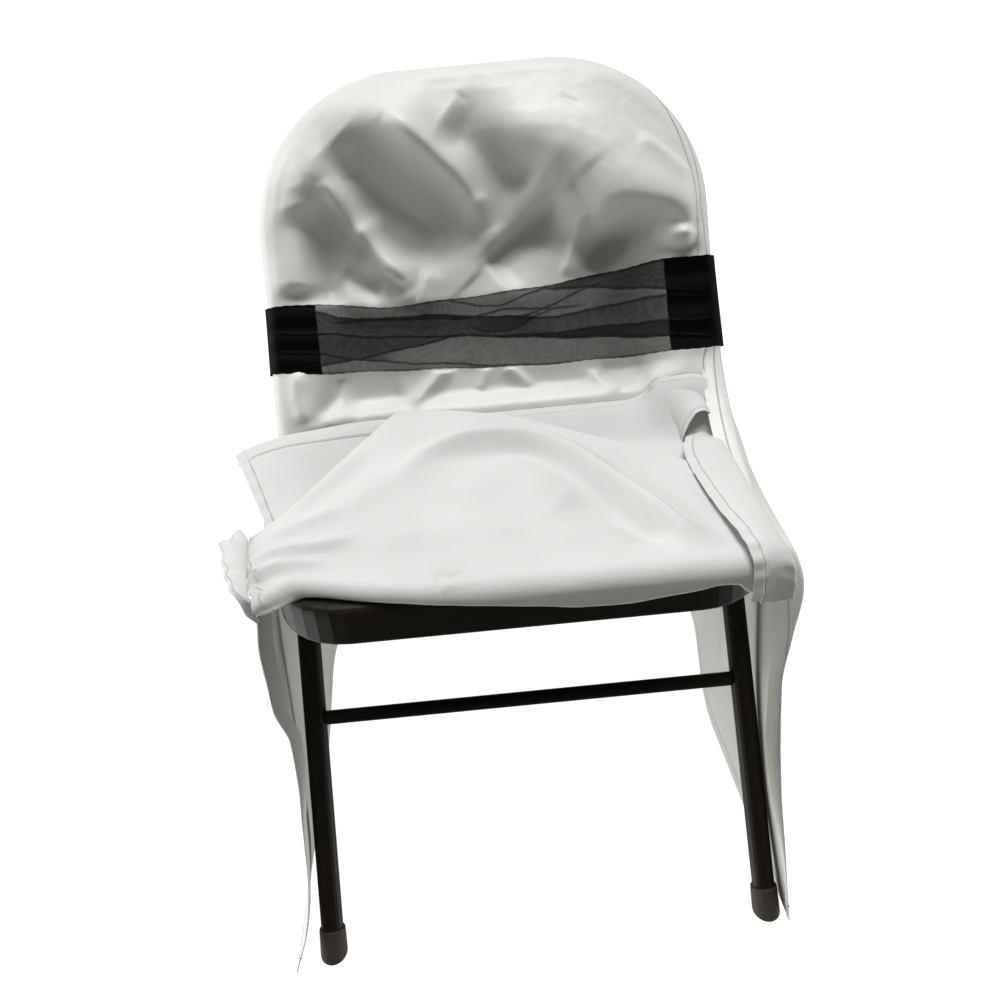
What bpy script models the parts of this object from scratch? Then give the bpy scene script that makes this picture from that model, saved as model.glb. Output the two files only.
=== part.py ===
"""Steel folding chair in a white fitted cover, with a black sash tied flat round its back.

The cover's front skirt is folded back over the seat in one loose pleat, so the chair's seat rail,
front legs and feet are bare. Its rear panel hangs behind and at both sides down to the floor.

Run with:  blender --background --python part.py

Lengths are metres, +Z is up and the chair faces -Y. Every place below is measured from the middle
of the seat's front edge, straight down on the floor; PLACE then moves the whole object so that the
origin is under the middle of its outer box.
"""
import math

import bmesh
import bpy
import numpy as np
from mathutils import Vector

NAME = "chair_cover_with_sash"
PLACE = (0.0045, -0.2530, 0.0)
GAP = 0.0003

# Chair
TUBE_R = 0.0111
LEG_FOOT = (0.2209, 0.003, 0.0)
KNEE = (0.2062, 0.221, 0.418)
BACK_LEAN = math.radians(28.7)
ARCH_HALF = 0.198
ARCH_TOP = 0.3725
ARCH_R = 0.130
ARCH_FOOT = 0.2075
SEAT_TOP = 0.438
PAN_HALF, PAN_WAIST, PAN_REAR_HALF = 0.202, 0.190, 0.189
PAN_CORNER_R, PAN_REAR_R = 0.062, 0.030
PAN_WAIST_Y, PAN_DEPTH = 0.185, 0.385
PAN_SHEET = 0.0012
APRON = 0.0355
REAR_LEG_X = 0.171
REAR_LEG_TOP = (0.215, 0.415)
REAR_LEG_FOOT = (0.4995, 0.0)
BAR_R = 0.007
FRONT_BAR_Z, REAR_BAR_Z = 0.2148, 0.240
PIVOT_R = 0.005
CAP_R, CAP_HEIGHT, CAP_FLOOR = 0.0133, 0.026, 0.008
REST_FOOT, REST_TOP, REST_BOW = 0.190, 0.330, 0.024

# Cover and sash
CLOTH = 0.0012
SEAT_LEFT, SEAT_RIGHT = -0.2005, 0.1985
SEAT_LAYER_Z = SEAT_TOP + 0.0026
TURNED_Z, UNDER_Z = 0.4555, 0.4465
ROLL_R, SHOULDER_R = 0.0035, 0.006
LOW_SIDE = {"y": 0.53, "z": 0.85}
BAND_START, BAND_END = 0.001, 0.228
SASH_CLOTH = 0.0010
HOOD_HALF = 0.2145
HOOD_TOP = 0.3854
HOOD_R = 0.145
HOOD_FLARE = 0.0035
WRAP = 0.0165
HUG = 0.0138
SEAM_SHIFT = 0.0004

# The seam of front panel and seat, left to right: up the back, and out in front of its tubes
SEAT_SEAM = {
    "x":   (-0.216, -0.190, -0.165, -0.130, 0.000, 0.120, 0.138, 0.152, 0.180, 0.205),
    "up":  (0.034, 0.036, 0.046, 0.056, 0.057, 0.057, 0.062, 0.074, 0.076, 0.070),
    "out": (0.014, 0.010, -0.012, -0.020, -0.022, -0.022, -0.018, -0.004, 0.014, 0.018),
}
# How far the front panel stands in front of the tubes along its middle, bottom to top
MIDDLE_SLACK = {
    "up":  (0.057, 0.070, 0.081, 0.094, 0.110, 0.150, 0.200, 0.270, 0.330, 0.360, 0.386),
    "out": (-0.022, -0.034, -0.0355, -0.026, -0.018, -0.012, -0.010, -0.006, 0.003, 0.009, 0.011),
}
# Main soft folds of the front panel: from (x, up) to (x, up), half width, height
HOOD_FOLDS = (
    # x1, up1, x2, up2, width, height
    (-0.157, 0.243, -0.158, 0.177, 0.020, -0.006),
    (-0.143, 0.274, -0.088, 0.185, 0.016, 0.006),
    (-0.125, 0.300, -0.040, 0.222, 0.020, -0.005),
    (-0.090, 0.330, 0.003, 0.219, 0.016, 0.006),
    (-0.010, 0.310, 0.070, 0.232, 0.024, -0.006),
    (0.107, 0.312, 0.192, 0.216, 0.016, 0.007),
    (0.105, 0.181, 0.160, 0.230, 0.018, -0.008),
    (-0.042, 0.098, -0.080, 0.066, 0.012, 0.006),
)

# The rear panel's free side edges below the seat seam, top to bottom, each with its wall's x
# beside the front leg and half way back
LEFT_WALL = {
    "x":    (-0.2165, -0.2205, -0.2215, -0.2260, -0.2253, -0.2166,
             -0.2172, -0.2213, -0.2273, -0.2380, -0.2560),
    "y":    (0.190, 0.115, 0.056, 0.045, 0.036, 0.030, 0.023, 0.013, 0.001, -0.009, -0.017),
    "z":    (0.438, 0.424, 0.400, 0.360, 0.307, 0.271, 0.230, 0.177, 0.107, 0.055, 0.004),
    "leg":  (-0.222, -0.225, -0.227, -0.230, -0.231, -0.230,
             -0.231, -0.234, -0.236, -0.240, -0.2425),
    "mid":  (-0.226, -0.229, -0.232, -0.236, -0.239, -0.242,
             -0.244, -0.246, -0.248, -0.250, -0.252),
}
RIGHT_WALL = {
    "x":    (0.2185, 0.2290, 0.2360, 0.2390, 0.2310, 0.2225,
             0.2230, 0.2260, 0.2310, 0.2345, 0.2390),
    "y":    (0.190, 0.115, 0.062, 0.049, 0.040, 0.031, 0.022, 0.012, -0.001, -0.009, -0.017),
    "z":    (0.452, 0.430, 0.405, 0.375, 0.330, 0.280, 0.230, 0.165, 0.100, 0.055, 0.004),
    "leg":  (0.222, 0.227, 0.230, 0.232, 0.231, 0.230,
             0.2305, 0.232, 0.2345, 0.2370, 0.2385),
    "mid":  (0.226, 0.229, 0.231, 0.232, 0.232, 0.231,
             0.230, 0.230, 0.229, 0.228, 0.228),
}
# The rear panel behind the chair at the same sections: y, z, half widths, squareness of corners
REAR_WALL = {
    "y":      (0.350, 0.391, 0.399, 0.402, 0.405, 0.408, 0.414, 0.429, 0.463, 0.494, 0.520),
    "z":      (0.455, 0.441, 0.405, 0.355, 0.305, 0.255, 0.205, 0.150, 0.090, 0.045, 0.004),
    "left":   (0.226, 0.235, 0.240, 0.244, 0.247, 0.251, 0.254, 0.258, 0.262, 0.264, 0.264),
    "right":  (0.224, 0.230, 0.235, 0.238, 0.240, 0.243, 0.246, 0.250, 0.254, 0.257, 0.259),
    "square": (4.5, 6.0, 7.0, 8.0, 9.0, 10.0, 11.0, 12.0, 13.0, 14.0, 14.0),
}
HEM_RIPPLE, RIPPLES = 0.005, 6.0
# The rear panel behind the hood: how far it stands off the tubes' plane at places up the back, and
# from the seat seam, 0, to the top seam, 1, how much higher its middle sits than its sides
HOOD_BACK = {
    "up":    (0.034, 0.060, 0.080, 0.092, 0.140, 0.390),
    "depth": (0.058, 0.052, 0.042, 0.0355, 0.034, 0.034),
    "v":     (0.000, 0.060, 0.125, 0.190, 0.300, 1.000),
    "lift":  (0.026, 0.010, 0.002, 0.000, 0.000, 0.000),
}

# The folded-back skirt's upper fold edge, left to right
PLEAT_EDGE = {
    "x": (-0.223, -0.201, -0.182, -0.151, -0.126, -0.095, -0.060, 0.000, 0.043, 0.087, 0.129, 0.159,
          0.185),
    "y": (0.090, 0.105, 0.126, 0.175, 0.212, 0.250, 0.246, 0.229, 0.210, 0.188, 0.163, 0.135,
          0.105),
    "z": (0.456, 0.460, 0.465, 0.470, 0.474, 0.478, 0.477, 0.474, 0.469, 0.463, 0.460, 0.459,
          0.457),
}
# Its bottom hem, which shows at the left and is hidden under the pleat further right
SKIRT_HEM = {
    "x": (-0.255, -0.231, -0.200, -0.180, -0.145, -0.111, -0.085, -0.050, 0.000, 0.080, 0.185),
    "y": (0.215, 0.220, 0.225, 0.230, 0.240, 0.247, 0.243, 0.228, 0.203, 0.166, 0.082),
    "z": (0.4645, 0.4720, 0.4760, 0.4755, 0.4740, 0.4705, 0.468, 0.4600, 0.4510, 0.4480, 0.4475),
}
# Lowest front line of the skirt's roll, on the seat at the left and hanging over its front edge
ROLL_EDGE = {
    "x": (-0.2005, -0.189, -0.167, -0.151, -0.132, -0.096, -0.059, -0.035, -0.005, 0.018, 0.045,
          0.079, 0.107, 0.134, 0.152, 0.164, 0.172, 0.182, 0.192, 0.1985),
    "y": (0.000, 0.006, 0.018, 0.015, 0.009, 0.000, -0.007, -0.0083, -0.0083, -0.0083, -0.0083,
          -0.0083, -0.0083, -0.0083, -0.0083, -0.0083, -0.0083, -0.0083, -0.0083, -0.0083),
    "z": (0.4400, 0.4400, 0.4400, 0.4400, 0.4400, 0.4400, 0.4390, 0.4365, 0.4325, 0.4295, 0.4255,
          0.4245, 0.4275, 0.4305, 0.4335, 0.4325, 0.4250, 0.4220, 0.4165, 0.4165),
}
# Main folds of the turned-back skirt: from (x, y) to (x, y), half width, height
SKIRT_FOLDS = (
    # x1, y1, x2, y2, width, height
    (-0.085, 0.160, 0.015, 0.186, 0.012, 0.007),
    (0.015, 0.186, 0.092, 0.112, 0.011, 0.010),
    (0.092, 0.112, 0.150, 0.012, 0.010, 0.011),
    (0.070, 0.165, 0.150, 0.060, 0.014, -0.003),
    (-0.205, 0.045, -0.150, 0.055, 0.008, 0.005),
)
BAND_FOLD = {"y": (0.000, 0.035, 0.100, 0.200, 0.250), "x": (0.2035, 0.2060, 0.2040, 0.2030, 0.203)}
BAND_HEM = {"y": (0.000, 0.020, 0.060, 0.130, 0.175, 0.205, 0.250),
            "x": (0.1770, 0.1770, 0.1670, 0.1590, 0.1620, 0.1720, 0.1720)}

# The sash across the front and round the back: its lower and upper edge, measured up the back
SASH_EDGES = {
    "x":   (-0.216, -0.170, -0.100, -0.044, 0.050, 0.114, 0.178, 0.216),
    "low": (0.1116, 0.1076, 0.1040, 0.1010, 0.0965, 0.0966, 0.0985, 0.0993),
    "top": (0.1740, 0.1735, 0.1643, 0.1660, 0.1707, 0.1780, 0.1855, 0.1858),
}
SASH_PLEATS, SASH_PLEAT_DEPTH, SASH_CLEAR = 3.0, 0.0009, 0.0028


# --- Curves and small formulas --------------------------------------------------------------

def ease(low, high, value):
    """0 below low, 1 above high and a smooth step between them."""
    t = np.clip((np.asarray(value, float) - low) / (high - low), 0.0, 1.0)
    return t * t * (3.0 - 2.0 * t)


def read(table, key, column, at):
    """Smooth curve through a table's column, read at one or more values of its key."""
    keys, values = np.array(table[key]), np.array(table[column])
    steep = np.diff(values) / np.diff(keys)
    level = steep[1:] * steep[:-1] <= 0.0
    inner = 2 * steep[1:] * steep[:-1] / np.where(level, 1.0, steep[1:] + steep[:-1])
    slopes = np.concatenate((steep[:1], np.where(level, 0.0, inner), steep[-1:]))
    i = np.clip(np.searchsorted(keys, at) - 1, 0, len(keys) - 2)
    span = keys[i + 1] - keys[i]
    t = np.clip((at - keys[i]) / span, 0.0, 1.0)
    return ((2 * t**3 - 3 * t**2 + 1) * values[i] + (t**3 - 2 * t**2 + t) * span * slopes[i]
            + (3 * t**2 - 2 * t**3) * values[i + 1] + (t**3 - t**2) * span * slopes[i + 1])


def folds(table, a, b):
    """Sum of soft ridges and troughs, each along one straight stretch, at places (a, b)."""
    total = np.zeros(np.broadcast(a, b).shape)
    for a1, b1, a2, b2, width, height in table:
        along = ((a - a1) * (a2 - a1) + (b - b1) * (b2 - b1)) / ((a2 - a1)**2 + (b2 - b1)**2)
        along = np.clip(along, 0.0, 1.0)
        off = np.hypot(a - a1 - along * (a2 - a1), b - b1 - along * (b2 - b1))
        total += height * np.exp(-(off / width)**2)
    return total


def respace(points, count, turn_weight=0.05):
    """Points evenly spaced along a line, closer together where it turns."""
    points = np.asarray(points, float)
    steps = np.diff(points, axis=0)
    lengths = np.linalg.norm(steps, axis=1)
    units = steps / np.maximum(lengths, 1e-9)[:, None]
    turns = np.arccos(np.clip((units[1:] * units[:-1]).sum(axis=1), -1.0, 1.0))
    turns = np.concatenate(([0.0], turns)) + np.concatenate((turns, [0.0]))
    measure = np.concatenate(([0.0], np.cumsum(lengths + turn_weight * turns / 2)))
    at = np.linspace(0.0, measure[-1], count)
    return np.stack([np.interp(at, measure, points[:, k]) for k in range(3)], axis=1)


def back_point(x, up, out):
    """A place given up the back's slope from the knee and out in front of the tubes."""
    x, up, out = np.broadcast_arrays(x, up, out)
    lean_y, lean_z = math.sin(BACK_LEAN), math.cos(BACK_LEAN)
    return np.stack((x, KNEE[1] + up * lean_y - out * lean_z,
                     KNEE[2] + up * lean_z + out * lean_y), axis=-1)


def leg_point(side, height):
    """Centre of the front leg at a height above the floor."""
    t = height / KNEE[2]
    return Vector((side * (LEG_FOOT[0] + (KNEE[0] - LEG_FOOT[0]) * t),
                   LEG_FOOT[1] + (KNEE[1] - LEG_FOOT[1]) * t, height))


def rear_leg_point(side, height):
    """Centre of the rear leg at a height above the floor."""
    t = height / REAR_LEG_TOP[1]
    return Vector((side * REAR_LEG_X,
                   REAR_LEG_FOOT[0] + (REAR_LEG_TOP[0] - REAR_LEG_FOOT[0]) * t, height))


# --- Blender helpers ------------------------------------------------------------------------

def clear_scene():
    for item in list(bpy.data.objects):
        bpy.data.objects.remove(item, do_unlink=True)


def make_collection(name):
    collection = bpy.data.collections.new(name)
    bpy.context.scene.collection.children.link(collection)
    return collection


def make_material(name, color, roughness, metallic=0.0):
    material = bpy.data.materials.new(name)
    material.use_nodes = True
    shader = material.node_tree.nodes["Principled BSDF"]
    shader.inputs["Base Color"].default_value = (*color, 1.0)
    shader.inputs["Roughness"].default_value = roughness
    shader.inputs["Metallic"].default_value = metallic
    return material


class Builder:
    """Puts named objects into the object's collection, under one empty that places them."""

    def __init__(self):
        self.parts = make_collection(NAME)
        self.cutters = make_collection(NAME + "_cutters")
        self.root = bpy.data.objects.new(NAME + "_place", None)
        self.root.location = PLACE
        self.parts.objects.link(self.root)

    def add(self, name, data, material, collection=None):
        item = bpy.data.objects.new(name, data)
        (collection or self.parts).objects.link(item)
        item.parent = self.root
        if material:
            data.materials.append(material)
        return item

    def mesh(self, name, bm, material, smooth_angle=40.0, collection=None):
        bmesh.ops.recalc_face_normals(bm, faces=bm.faces)
        data = bpy.data.meshes.new(name)
        bm.to_mesh(data)
        bm.free()
        data.shade_smooth()
        data.set_sharp_from_angle(angle=math.radians(smooth_angle))
        return self.add(name, data, material, collection)

    def tube(self, name, points, radius, material, sides=20):
        """A round bar with closed ends along straight stretches between points."""
        data = bpy.data.curves.new(name, "CURVE")
        data.dimensions = "3D"
        data.bevel_depth = radius
        data.bevel_resolution = sides // 2 - 2
        data.use_fill_caps = True
        line = data.splines.new("POLY")
        line.points.add(len(points) - 1)
        for knot, place in zip(line.points, points):
            knot.co = (*place, 1.0)
        return self.add(name, data, material)

    def sheet(self, name, grids, thickness, material, ring=False):
        """A cloth: an open surface over grids of places, given its thickness by Solidify."""
        bm = bmesh.new()
        for grid in grids:
            rows, columns = grid.shape[:2]
            knots = [[bm.verts.new(grid[i, j]) for j in range(columns)] for i in range(rows)]
            for i in range(rows - 1):
                for j in range(columns if ring else columns - 1):
                    k = (j + 1) % columns
                    bm.faces.new((knots[i][j], knots[i][k], knots[i + 1][k], knots[i + 1][j]))
        bmesh.ops.remove_doubles(bm, verts=bm.verts, dist=1e-6)
        item = self.mesh(name, bm, material, 60.0)
        wall = item.modifiers.new("Cloth thickness", "SOLIDIFY")
        wall.thickness = thickness
        wall.offset = 0.0
        return item


# --- Chair ----------------------------------------------------------------------------------

def build_front_tubes(builder, steel):
    """Front legs that run on up the back, and the bent tube that joins them over the top."""
    arch = [back_point(side * ARCH_HALF, ARCH_FOOT, 0.0) for side in (-1, 1)]
    for side, name in ((-1, "front_tube_left"), (1, "front_tube_right")):
        foot, knee = leg_point(side, 0.0), leg_point(side, KNEE[2])
        start = foot + (knee - foot).normalized() * (CAP_FLOOR + GAP)
        end = Vector(arch[0 if side < 0 else 1])
        builder.tube(name, (start, knee, end), TUBE_R, steel)
    bend = [(ARCH_HALF - ARCH_R + ARCH_R * math.cos(a), ARCH_TOP - ARCH_R + ARCH_R * math.sin(a))
            for a in np.linspace(0.0, math.pi / 2, 11)]
    half = [(ARCH_HALF, ARCH_FOOT + 3 * GAP)] + bend
    points = [back_point(-x, up, 0.0) for x, up in half]
    points += [back_point(x, up, 0.0) for x, up in reversed(half)]
    builder.tube("back_arch", points, TUBE_R, steel)


def build_back_rest(builder, steel):
    """Pressed sheet between the back's tubes, bowed to the rear."""
    across = np.linspace(-1.0, 1.0, 19)
    rows = []
    bend = ARCH_R - TUBE_R - 0.001
    for share in np.linspace(0.0, 1.0, 7):
        up = REST_FOOT + (REST_TOP - REST_FOOT) * share
        rise = max(up - (ARCH_TOP - ARCH_R), 0.0)
        reach = ARCH_HALF - TUBE_R - 3 * GAP + math.sqrt(bend**2 - rise**2) - bend
        bow = REST_BOW * (1.0 - 0.45 * share**2)
        rows.append(back_point(across * reach, up, -bow * (1.0 - across**10)))
    builder.sheet("back_rest", [np.array(rows)], PAN_SHEET, steel)


def pan_outline(inset=0.0):
    """Half of the seat pan's outline from the middle front to the middle rear."""
    r, q = PAN_CORNER_R - inset, PAN_REAR_R - inset
    points = [(0.0, inset)]
    for a in np.linspace(0.0, math.pi / 2, 9):
        points.append((PAN_HALF - PAN_CORNER_R + r * math.sin(a),
                       PAN_CORNER_R - r * math.cos(a)))
    points.append((PAN_WAIST - inset, PAN_WAIST_Y))
    for a in np.linspace(0.0, math.pi / 2, 5):
        points.append((PAN_REAR_HALF - PAN_REAR_R + q * math.cos(a),
                       PAN_DEPTH - PAN_REAR_R + q * math.sin(a)))
    points.append((0.0, PAN_DEPTH - inset))
    return points


def build_seat_pan(builder, steel):
    """Pressed seat with a deep rolled rim, open underneath."""
    levels = ((0.0050, 0.0), (0.0018, 0.0012), (0.0004, 0.0036), (0.0, 0.0070),
              (0.0, APRON - 0.0030), (0.0008, APRON - 0.0008), (0.0022, APRON), (0.0040, APRON))
    bm = bmesh.new()
    rings = []
    for inset, drop in levels:
        half = pan_outline(inset + PAN_SHEET / 2)
        ring = half + [(-x, y) for x, y in reversed(half[1:-1])]
        height = SEAT_TOP - PAN_SHEET / 2 - drop
        rings.append([bm.verts.new((x, y, height)) for x, y in ring])
    bm.faces.new(rings[0])
    for upper, lower in zip(rings, rings[1:]):
        for i in range(len(upper)):
            k = (i + 1) % len(upper)
            bm.faces.new((upper[i], upper[k], lower[k], lower[i]))
    pan = builder.mesh("seat_pan", bm, steel, 35.0)
    wall = pan.modifiers.new("Sheet steel", "SOLIDIFY")
    wall.thickness = PAN_SHEET
    wall.offset = 0.0
    wall.use_even_offset = True


def build_rear_legs(builder, steel):
    for side, name in ((-1, "rear_leg_left"), (1, "rear_leg_right")):
        foot, top = rear_leg_point(side, 0.0), rear_leg_point(side, REAR_LEG_TOP[1])
        start = foot + (top - foot).normalized() * (CAP_FLOOR + GAP)
        builder.tube(name, (start, top), TUBE_R, steel)


def build_cross_tubes(builder, steel):
    for name, height, place in (("front_bar", FRONT_BAR_Z, leg_point),
                                ("rear_bar", REAR_BAR_Z, rear_leg_point)):
        end = place(1, height)
        reach = end.x - TUBE_R - GAP
        builder.tube(name, ((-reach, end.y, height), (reach, end.y, height)), BAR_R, steel, 14)


def build_pivots(builder, steel):
    """Pins that hold the seat pan between the front tubes and on the rear legs."""
    front_y, front_z = KNEE[1] + 0.001, KNEE[2] + 0.002
    rear = rear_leg_point(1, 0.4105)
    for side, word in ((-1, "left"), (1, "right")):
        builder.tube("seat_pivot_" + word, ((side * (PAN_WAIST + 2 * GAP), front_y, front_z),
                     (side * (KNEE[0] - TUBE_R - GAP), front_y, front_z)), PIVOT_R, steel, 12)
        builder.tube("leg_pivot_" + word, ((side * (REAR_LEG_X + TUBE_R + GAP), rear.y, rear.z),
                     (side * (PAN_WAIST - PAN_SHEET - 3 * GAP), rear.y, rear.z)),
                     PIVOT_R, steel, 12)


def build_feet(builder, rubber):
    """Rubber caps: cups turned on each leg's axis and cut level with the floor."""
    floor = bmesh.new()
    bmesh.ops.create_cube(floor, size=2.0)
    bmesh.ops.translate(floor, verts=floor.verts, vec=(0.0, 0.0, -1.0))
    cutter = builder.mesh("floor_cutter", floor, None, collection=builder.cutters)
    cutter.hide_render = True
    cutter.display_type = "WIRE"
    bore = TUBE_R + GAP
    profile = ((0.0, CAP_FLOOR), (bore, CAP_FLOOR), (bore, CAP_HEIGHT),
               (CAP_R - 0.0012, CAP_HEIGHT), (CAP_R - 0.0002, CAP_HEIGHT - 0.0010),
               (CAP_R, CAP_HEIGHT - 0.0045), (CAP_R + 0.0004, 0.0020), (CAP_R + 0.0006, -0.0150),
               (0.0, -0.0150))
    for word, side, place, top in (("front_left", -1, leg_point, KNEE[2]),
                                   ("front_right", 1, leg_point, KNEE[2]),
                                   ("rear_left", -1, rear_leg_point, REAR_LEG_TOP[1]),
                                   ("rear_right", 1, rear_leg_point, REAR_LEG_TOP[1])):
        data = bpy.data.meshes.new("foot_" + word)
        data.from_pydata([(r, 0.0, z) for r, z in profile],
                         [(i, i + 1) for i in range(len(profile) - 1)], [])
        foot = builder.add("foot_" + word, data, rubber)
        foot.location = place(side, 0.0)
        foot.rotation_mode = "QUATERNION"
        axis = place(side, top) - place(side, 0.0)
        foot.rotation_quaternion = Vector((0.0, 0.0, 1.0)).rotation_difference(axis)
        turn = foot.modifiers.new("Turned", "SCREW")
        turn.angle = 2 * math.pi
        turn.steps = turn.render_steps = 24
        turn.use_merge_vertices = True
        turn.merge_threshold = 0.00001
        turn.use_smooth_shade = True
        level = foot.modifiers.new("Level with the floor", "BOOLEAN")
        level.operation = "DIFFERENCE"
        level.object = cutter


# --- Cover ----------------------------------------------------------------------------------

def hood_half(up):
    """Half width of the hood at a place up the back."""
    rise = np.clip(up - (HOOD_TOP - HOOD_R), 0.0, HOOD_R)
    flare = HOOD_FLARE * (1.0 - ease(0.05, 0.20, up))
    return HOOD_HALF - HOOD_R + np.sqrt(HOOD_R**2 - rise**2) + flare


def edge_distance(x, up):
    """How far a place lies inside the hood's outline."""
    across = hood_half(up) - np.abs(x)
    over = np.clip(np.abs(x) - (HOOD_HALF - HOOD_R), 0.0, HOOD_R)
    above = HOOD_TOP - HOOD_R + np.sqrt(HOOD_R**2 - over**2) - up
    across, above = np.maximum(across, 0.0), np.maximum(above, 0.0)
    return across * above / np.maximum(np.hypot(across, above), 1e-9)


def round_edge(distance):
    """0 on an edge to 1 one wrap inside it, along a quarter of an ellipse."""
    return np.sqrt(1.0 - (1.0 - np.clip(distance / WRAP, 0.0, 1.0))**2)


def right_seam_inset(up):
    """The right side seam lies on the front of the tube, and runs out over the top corner."""
    return 0.0135 * (1.0 - ease(0.270, 0.375, up))


def hood_levels():
    """Fractions from the seat seam, 0, to the top seam, 1, close together round the top tube."""
    low = SEAT_SEAM["up"][4]
    bend = [HOOD_TOP - HOOD_R * (1.0 - math.sin(math.radians(a))) for a in (0, 12, 24, 36, 47, 55)]
    over = [HOOD_TOP - e for e in wrap_steps(WRAP)[::-1]]
    levels = np.concatenate((np.linspace(low, bend[0], 8)[:-1], bend, over))
    return (levels - low) / (HOOD_TOP - low)


def wrap_steps(reach, start=0.0):
    """Distances inside the hood's edge, close together where the cloth turns round its tube."""
    return [start + (reach - start) * (1.0 - math.cos(a)) for a in np.linspace(0, math.pi / 2, 4)]


def front_panel_out(x, up):
    """How far the front panel stands in front of the tubes' centre plane."""
    inside = edge_distance(x, up)
    slack = ease(0.028, 0.066, inside)
    middle = read(MIDDLE_SLACK, "up", "out", up) + folds(HOOD_FOLDS, x, up)
    return round_edge(inside) * (HUG * (1.0 - slack) + middle * slack)


def front_panel_grid():
    rows = []
    for v in hood_levels():
        up_left, up_right = (SEAT_SEAM["up"][k] * (1.0 - v) + HOOD_TOP * v for k in (0, -1))
        half_left, half_right = hood_half(up_left), hood_half(up_right)
        wrap = min(WRAP, half_left * 0.2)
        inset = right_seam_inset(up_right) + SEAM_SHIFT
        left = [-half_left + e for e in wrap_steps(wrap)]
        right = [half_right - e for e in wrap_steps(max(wrap, inset + 0.006), inset)[::-1]]
        x = np.concatenate((left[:-1], np.linspace(left[-1], right[0], 15), right[1:]))
        low = read(SEAT_SEAM, "x", "up", x)
        up = low + (HOOD_TOP - low) * v
        hem_out = read(SEAT_SEAM, "x", "out", x) * round_edge(edge_distance(x, up))
        rise = ease(0.0, 0.11, v)
        out = hem_out * (1.0 - rise) + front_panel_out(x, up) * rise
        rows.append(back_point(x, up, out + SEAM_SHIFT))
    return np.array(rows)


def rear_out(x, up, depth):
    """How far the rear panel stands behind the tubes' centre plane, given its depth there."""
    inside = edge_distance(x, up)
    return HUG * round_edge(inside) + (depth - HUG) * ease(0.012, 0.070, inside)


def half_ring(square, steps=120):
    """Half of a squared oval from the left edge round behind to the right edge."""
    angles = np.linspace(0.0, math.pi, steps)
    across = -np.sign(np.cos(angles)) * np.abs(np.cos(angles))**(2.0 / square)
    return across, np.abs(np.sin(angles))**(2.0 / square)


def hood_back_row(v):
    """One section of the rear panel behind the hood and round the tubes to both side seams."""
    up_left, up_right = (SEAT_SEAM["up"][k] * (1.0 - v) + HOOD_TOP * v for k in (0, -1))
    half_left, half_right = hood_half(up_left), hood_half(up_right)
    steps = wrap_steps(min(WRAP, half_left * 0.2))
    left = [-half_left + e for e in steps]
    right = [half_right - e for e in steps[::-1]]
    x = np.concatenate((left[:-1], np.linspace(left[-1], right[0], 18), right[1:]))
    share = (x + half_left) / (half_left + half_right)
    up = up_left + (up_right - up_left) * share
    up = up + read(HOOD_BACK, "v", "lift", v) * ease(0.0, 0.060, edge_distance(x, up))
    depth = read(HOOD_BACK, "up", "depth", up)
    points = list(back_point(x, up, -rear_out(x, up, depth) - SEAM_SHIFT))
    reach = max(right_seam_inset(up_right) - SEAM_SHIFT, 0.0)
    x = half_right - reach * np.array((0.33, 0.67, 1.0))
    out = HUG * round_edge(edge_distance(x, up_right)) - SEAM_SHIFT
    return points + list(back_point(x, up_right, out))


def hanging_row(k):
    """One section of the rear panel below the seat seam."""
    left, right = ({c: table[c][k] for c in table} for table in (LEFT_WALL, RIGHT_WALL))
    rear = {c: REAR_WALL[c][k] for c in REAR_WALL}
    across, behind = half_ring(rear["square"])
    share = (across + 1.0) / 2
    y0 = left["y"] + (right["y"] - left["y"]) * share
    z0 = left["z"] + (right["z"] - left["z"]) * share
    y = y0 + (rear["y"] - y0) * behind
    z = z0 + (rear["z"] - z0) * behind
    width = np.where(across < 0.0, side_width(left, rear, y), side_width(right, rear, y))
    loose = HEM_RIPPLE * (1.0 - ease(0.04, 0.36, rear["z"])) * ease(0.32, 0.42, y)
    ripple = loose * (1.0 + np.cos(2 * math.pi * RIPPLES * share)) / 2
    return list(np.stack((across * width, y + ripple, z), axis=1))


def side_width(wall, rear, y):
    """Half width of a hanging section at a place behind the seat's front edge."""
    beside = wall["x"] + (wall["leg"] - wall["x"]) * ease(wall["y"], wall["y"] + 0.035, y)
    middle = beside + (wall["mid"] - wall["leg"]) * ease(0.06, 0.24, y)
    end = -rear["left"] if wall["x"] < 0.0 else rear["right"]
    return np.abs(middle + (end - wall["mid"]) * ease(0.26, rear["y"], y))


def rear_panel_grid():
    rows = [hood_back_row(v) for v in reversed(hood_levels())]
    rows += [respace(hanging_row(k), len(rows[0])) for k in range(len(REAR_WALL["z"]))]
    return np.array(rows)


def turned_back_height(x, y):
    """Height of the folded-back skirt's top layer."""
    edge_y, edge_z = (read(PLEAT_EDGE, "x", c, x) for c in ("y", "z"))
    rise = ease(0.0, 1.0, np.clip(y / edge_y, 0.0, 1.0))
    fade = ease(0.0, 0.03, edge_y - y) * ease(-0.01, 0.02, y)
    return TURNED_Z + (edge_z - TURNED_Z) * rise + folds(SKIRT_FOLDS, x, y) * fade


def seat_layer(x, front_y):
    """The cover lying on the seat, from its seam forward to the roll."""
    seam = back_point(x, read(SEAT_SEAM, "x", "up", x), read(SEAT_SEAM, "x", "out", x))
    points = []
    for t in np.linspace(0.0, 1.0, 13):
        y = (seam[1] - 0.0028) * (1.0 - t) + front_y * t
        settle = ease(0.0, 0.055, seam[1] - y)
        points.append((x, y, seam[2] * (1.0 - settle) + SEAT_LAYER_Z * settle))
    return points


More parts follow.
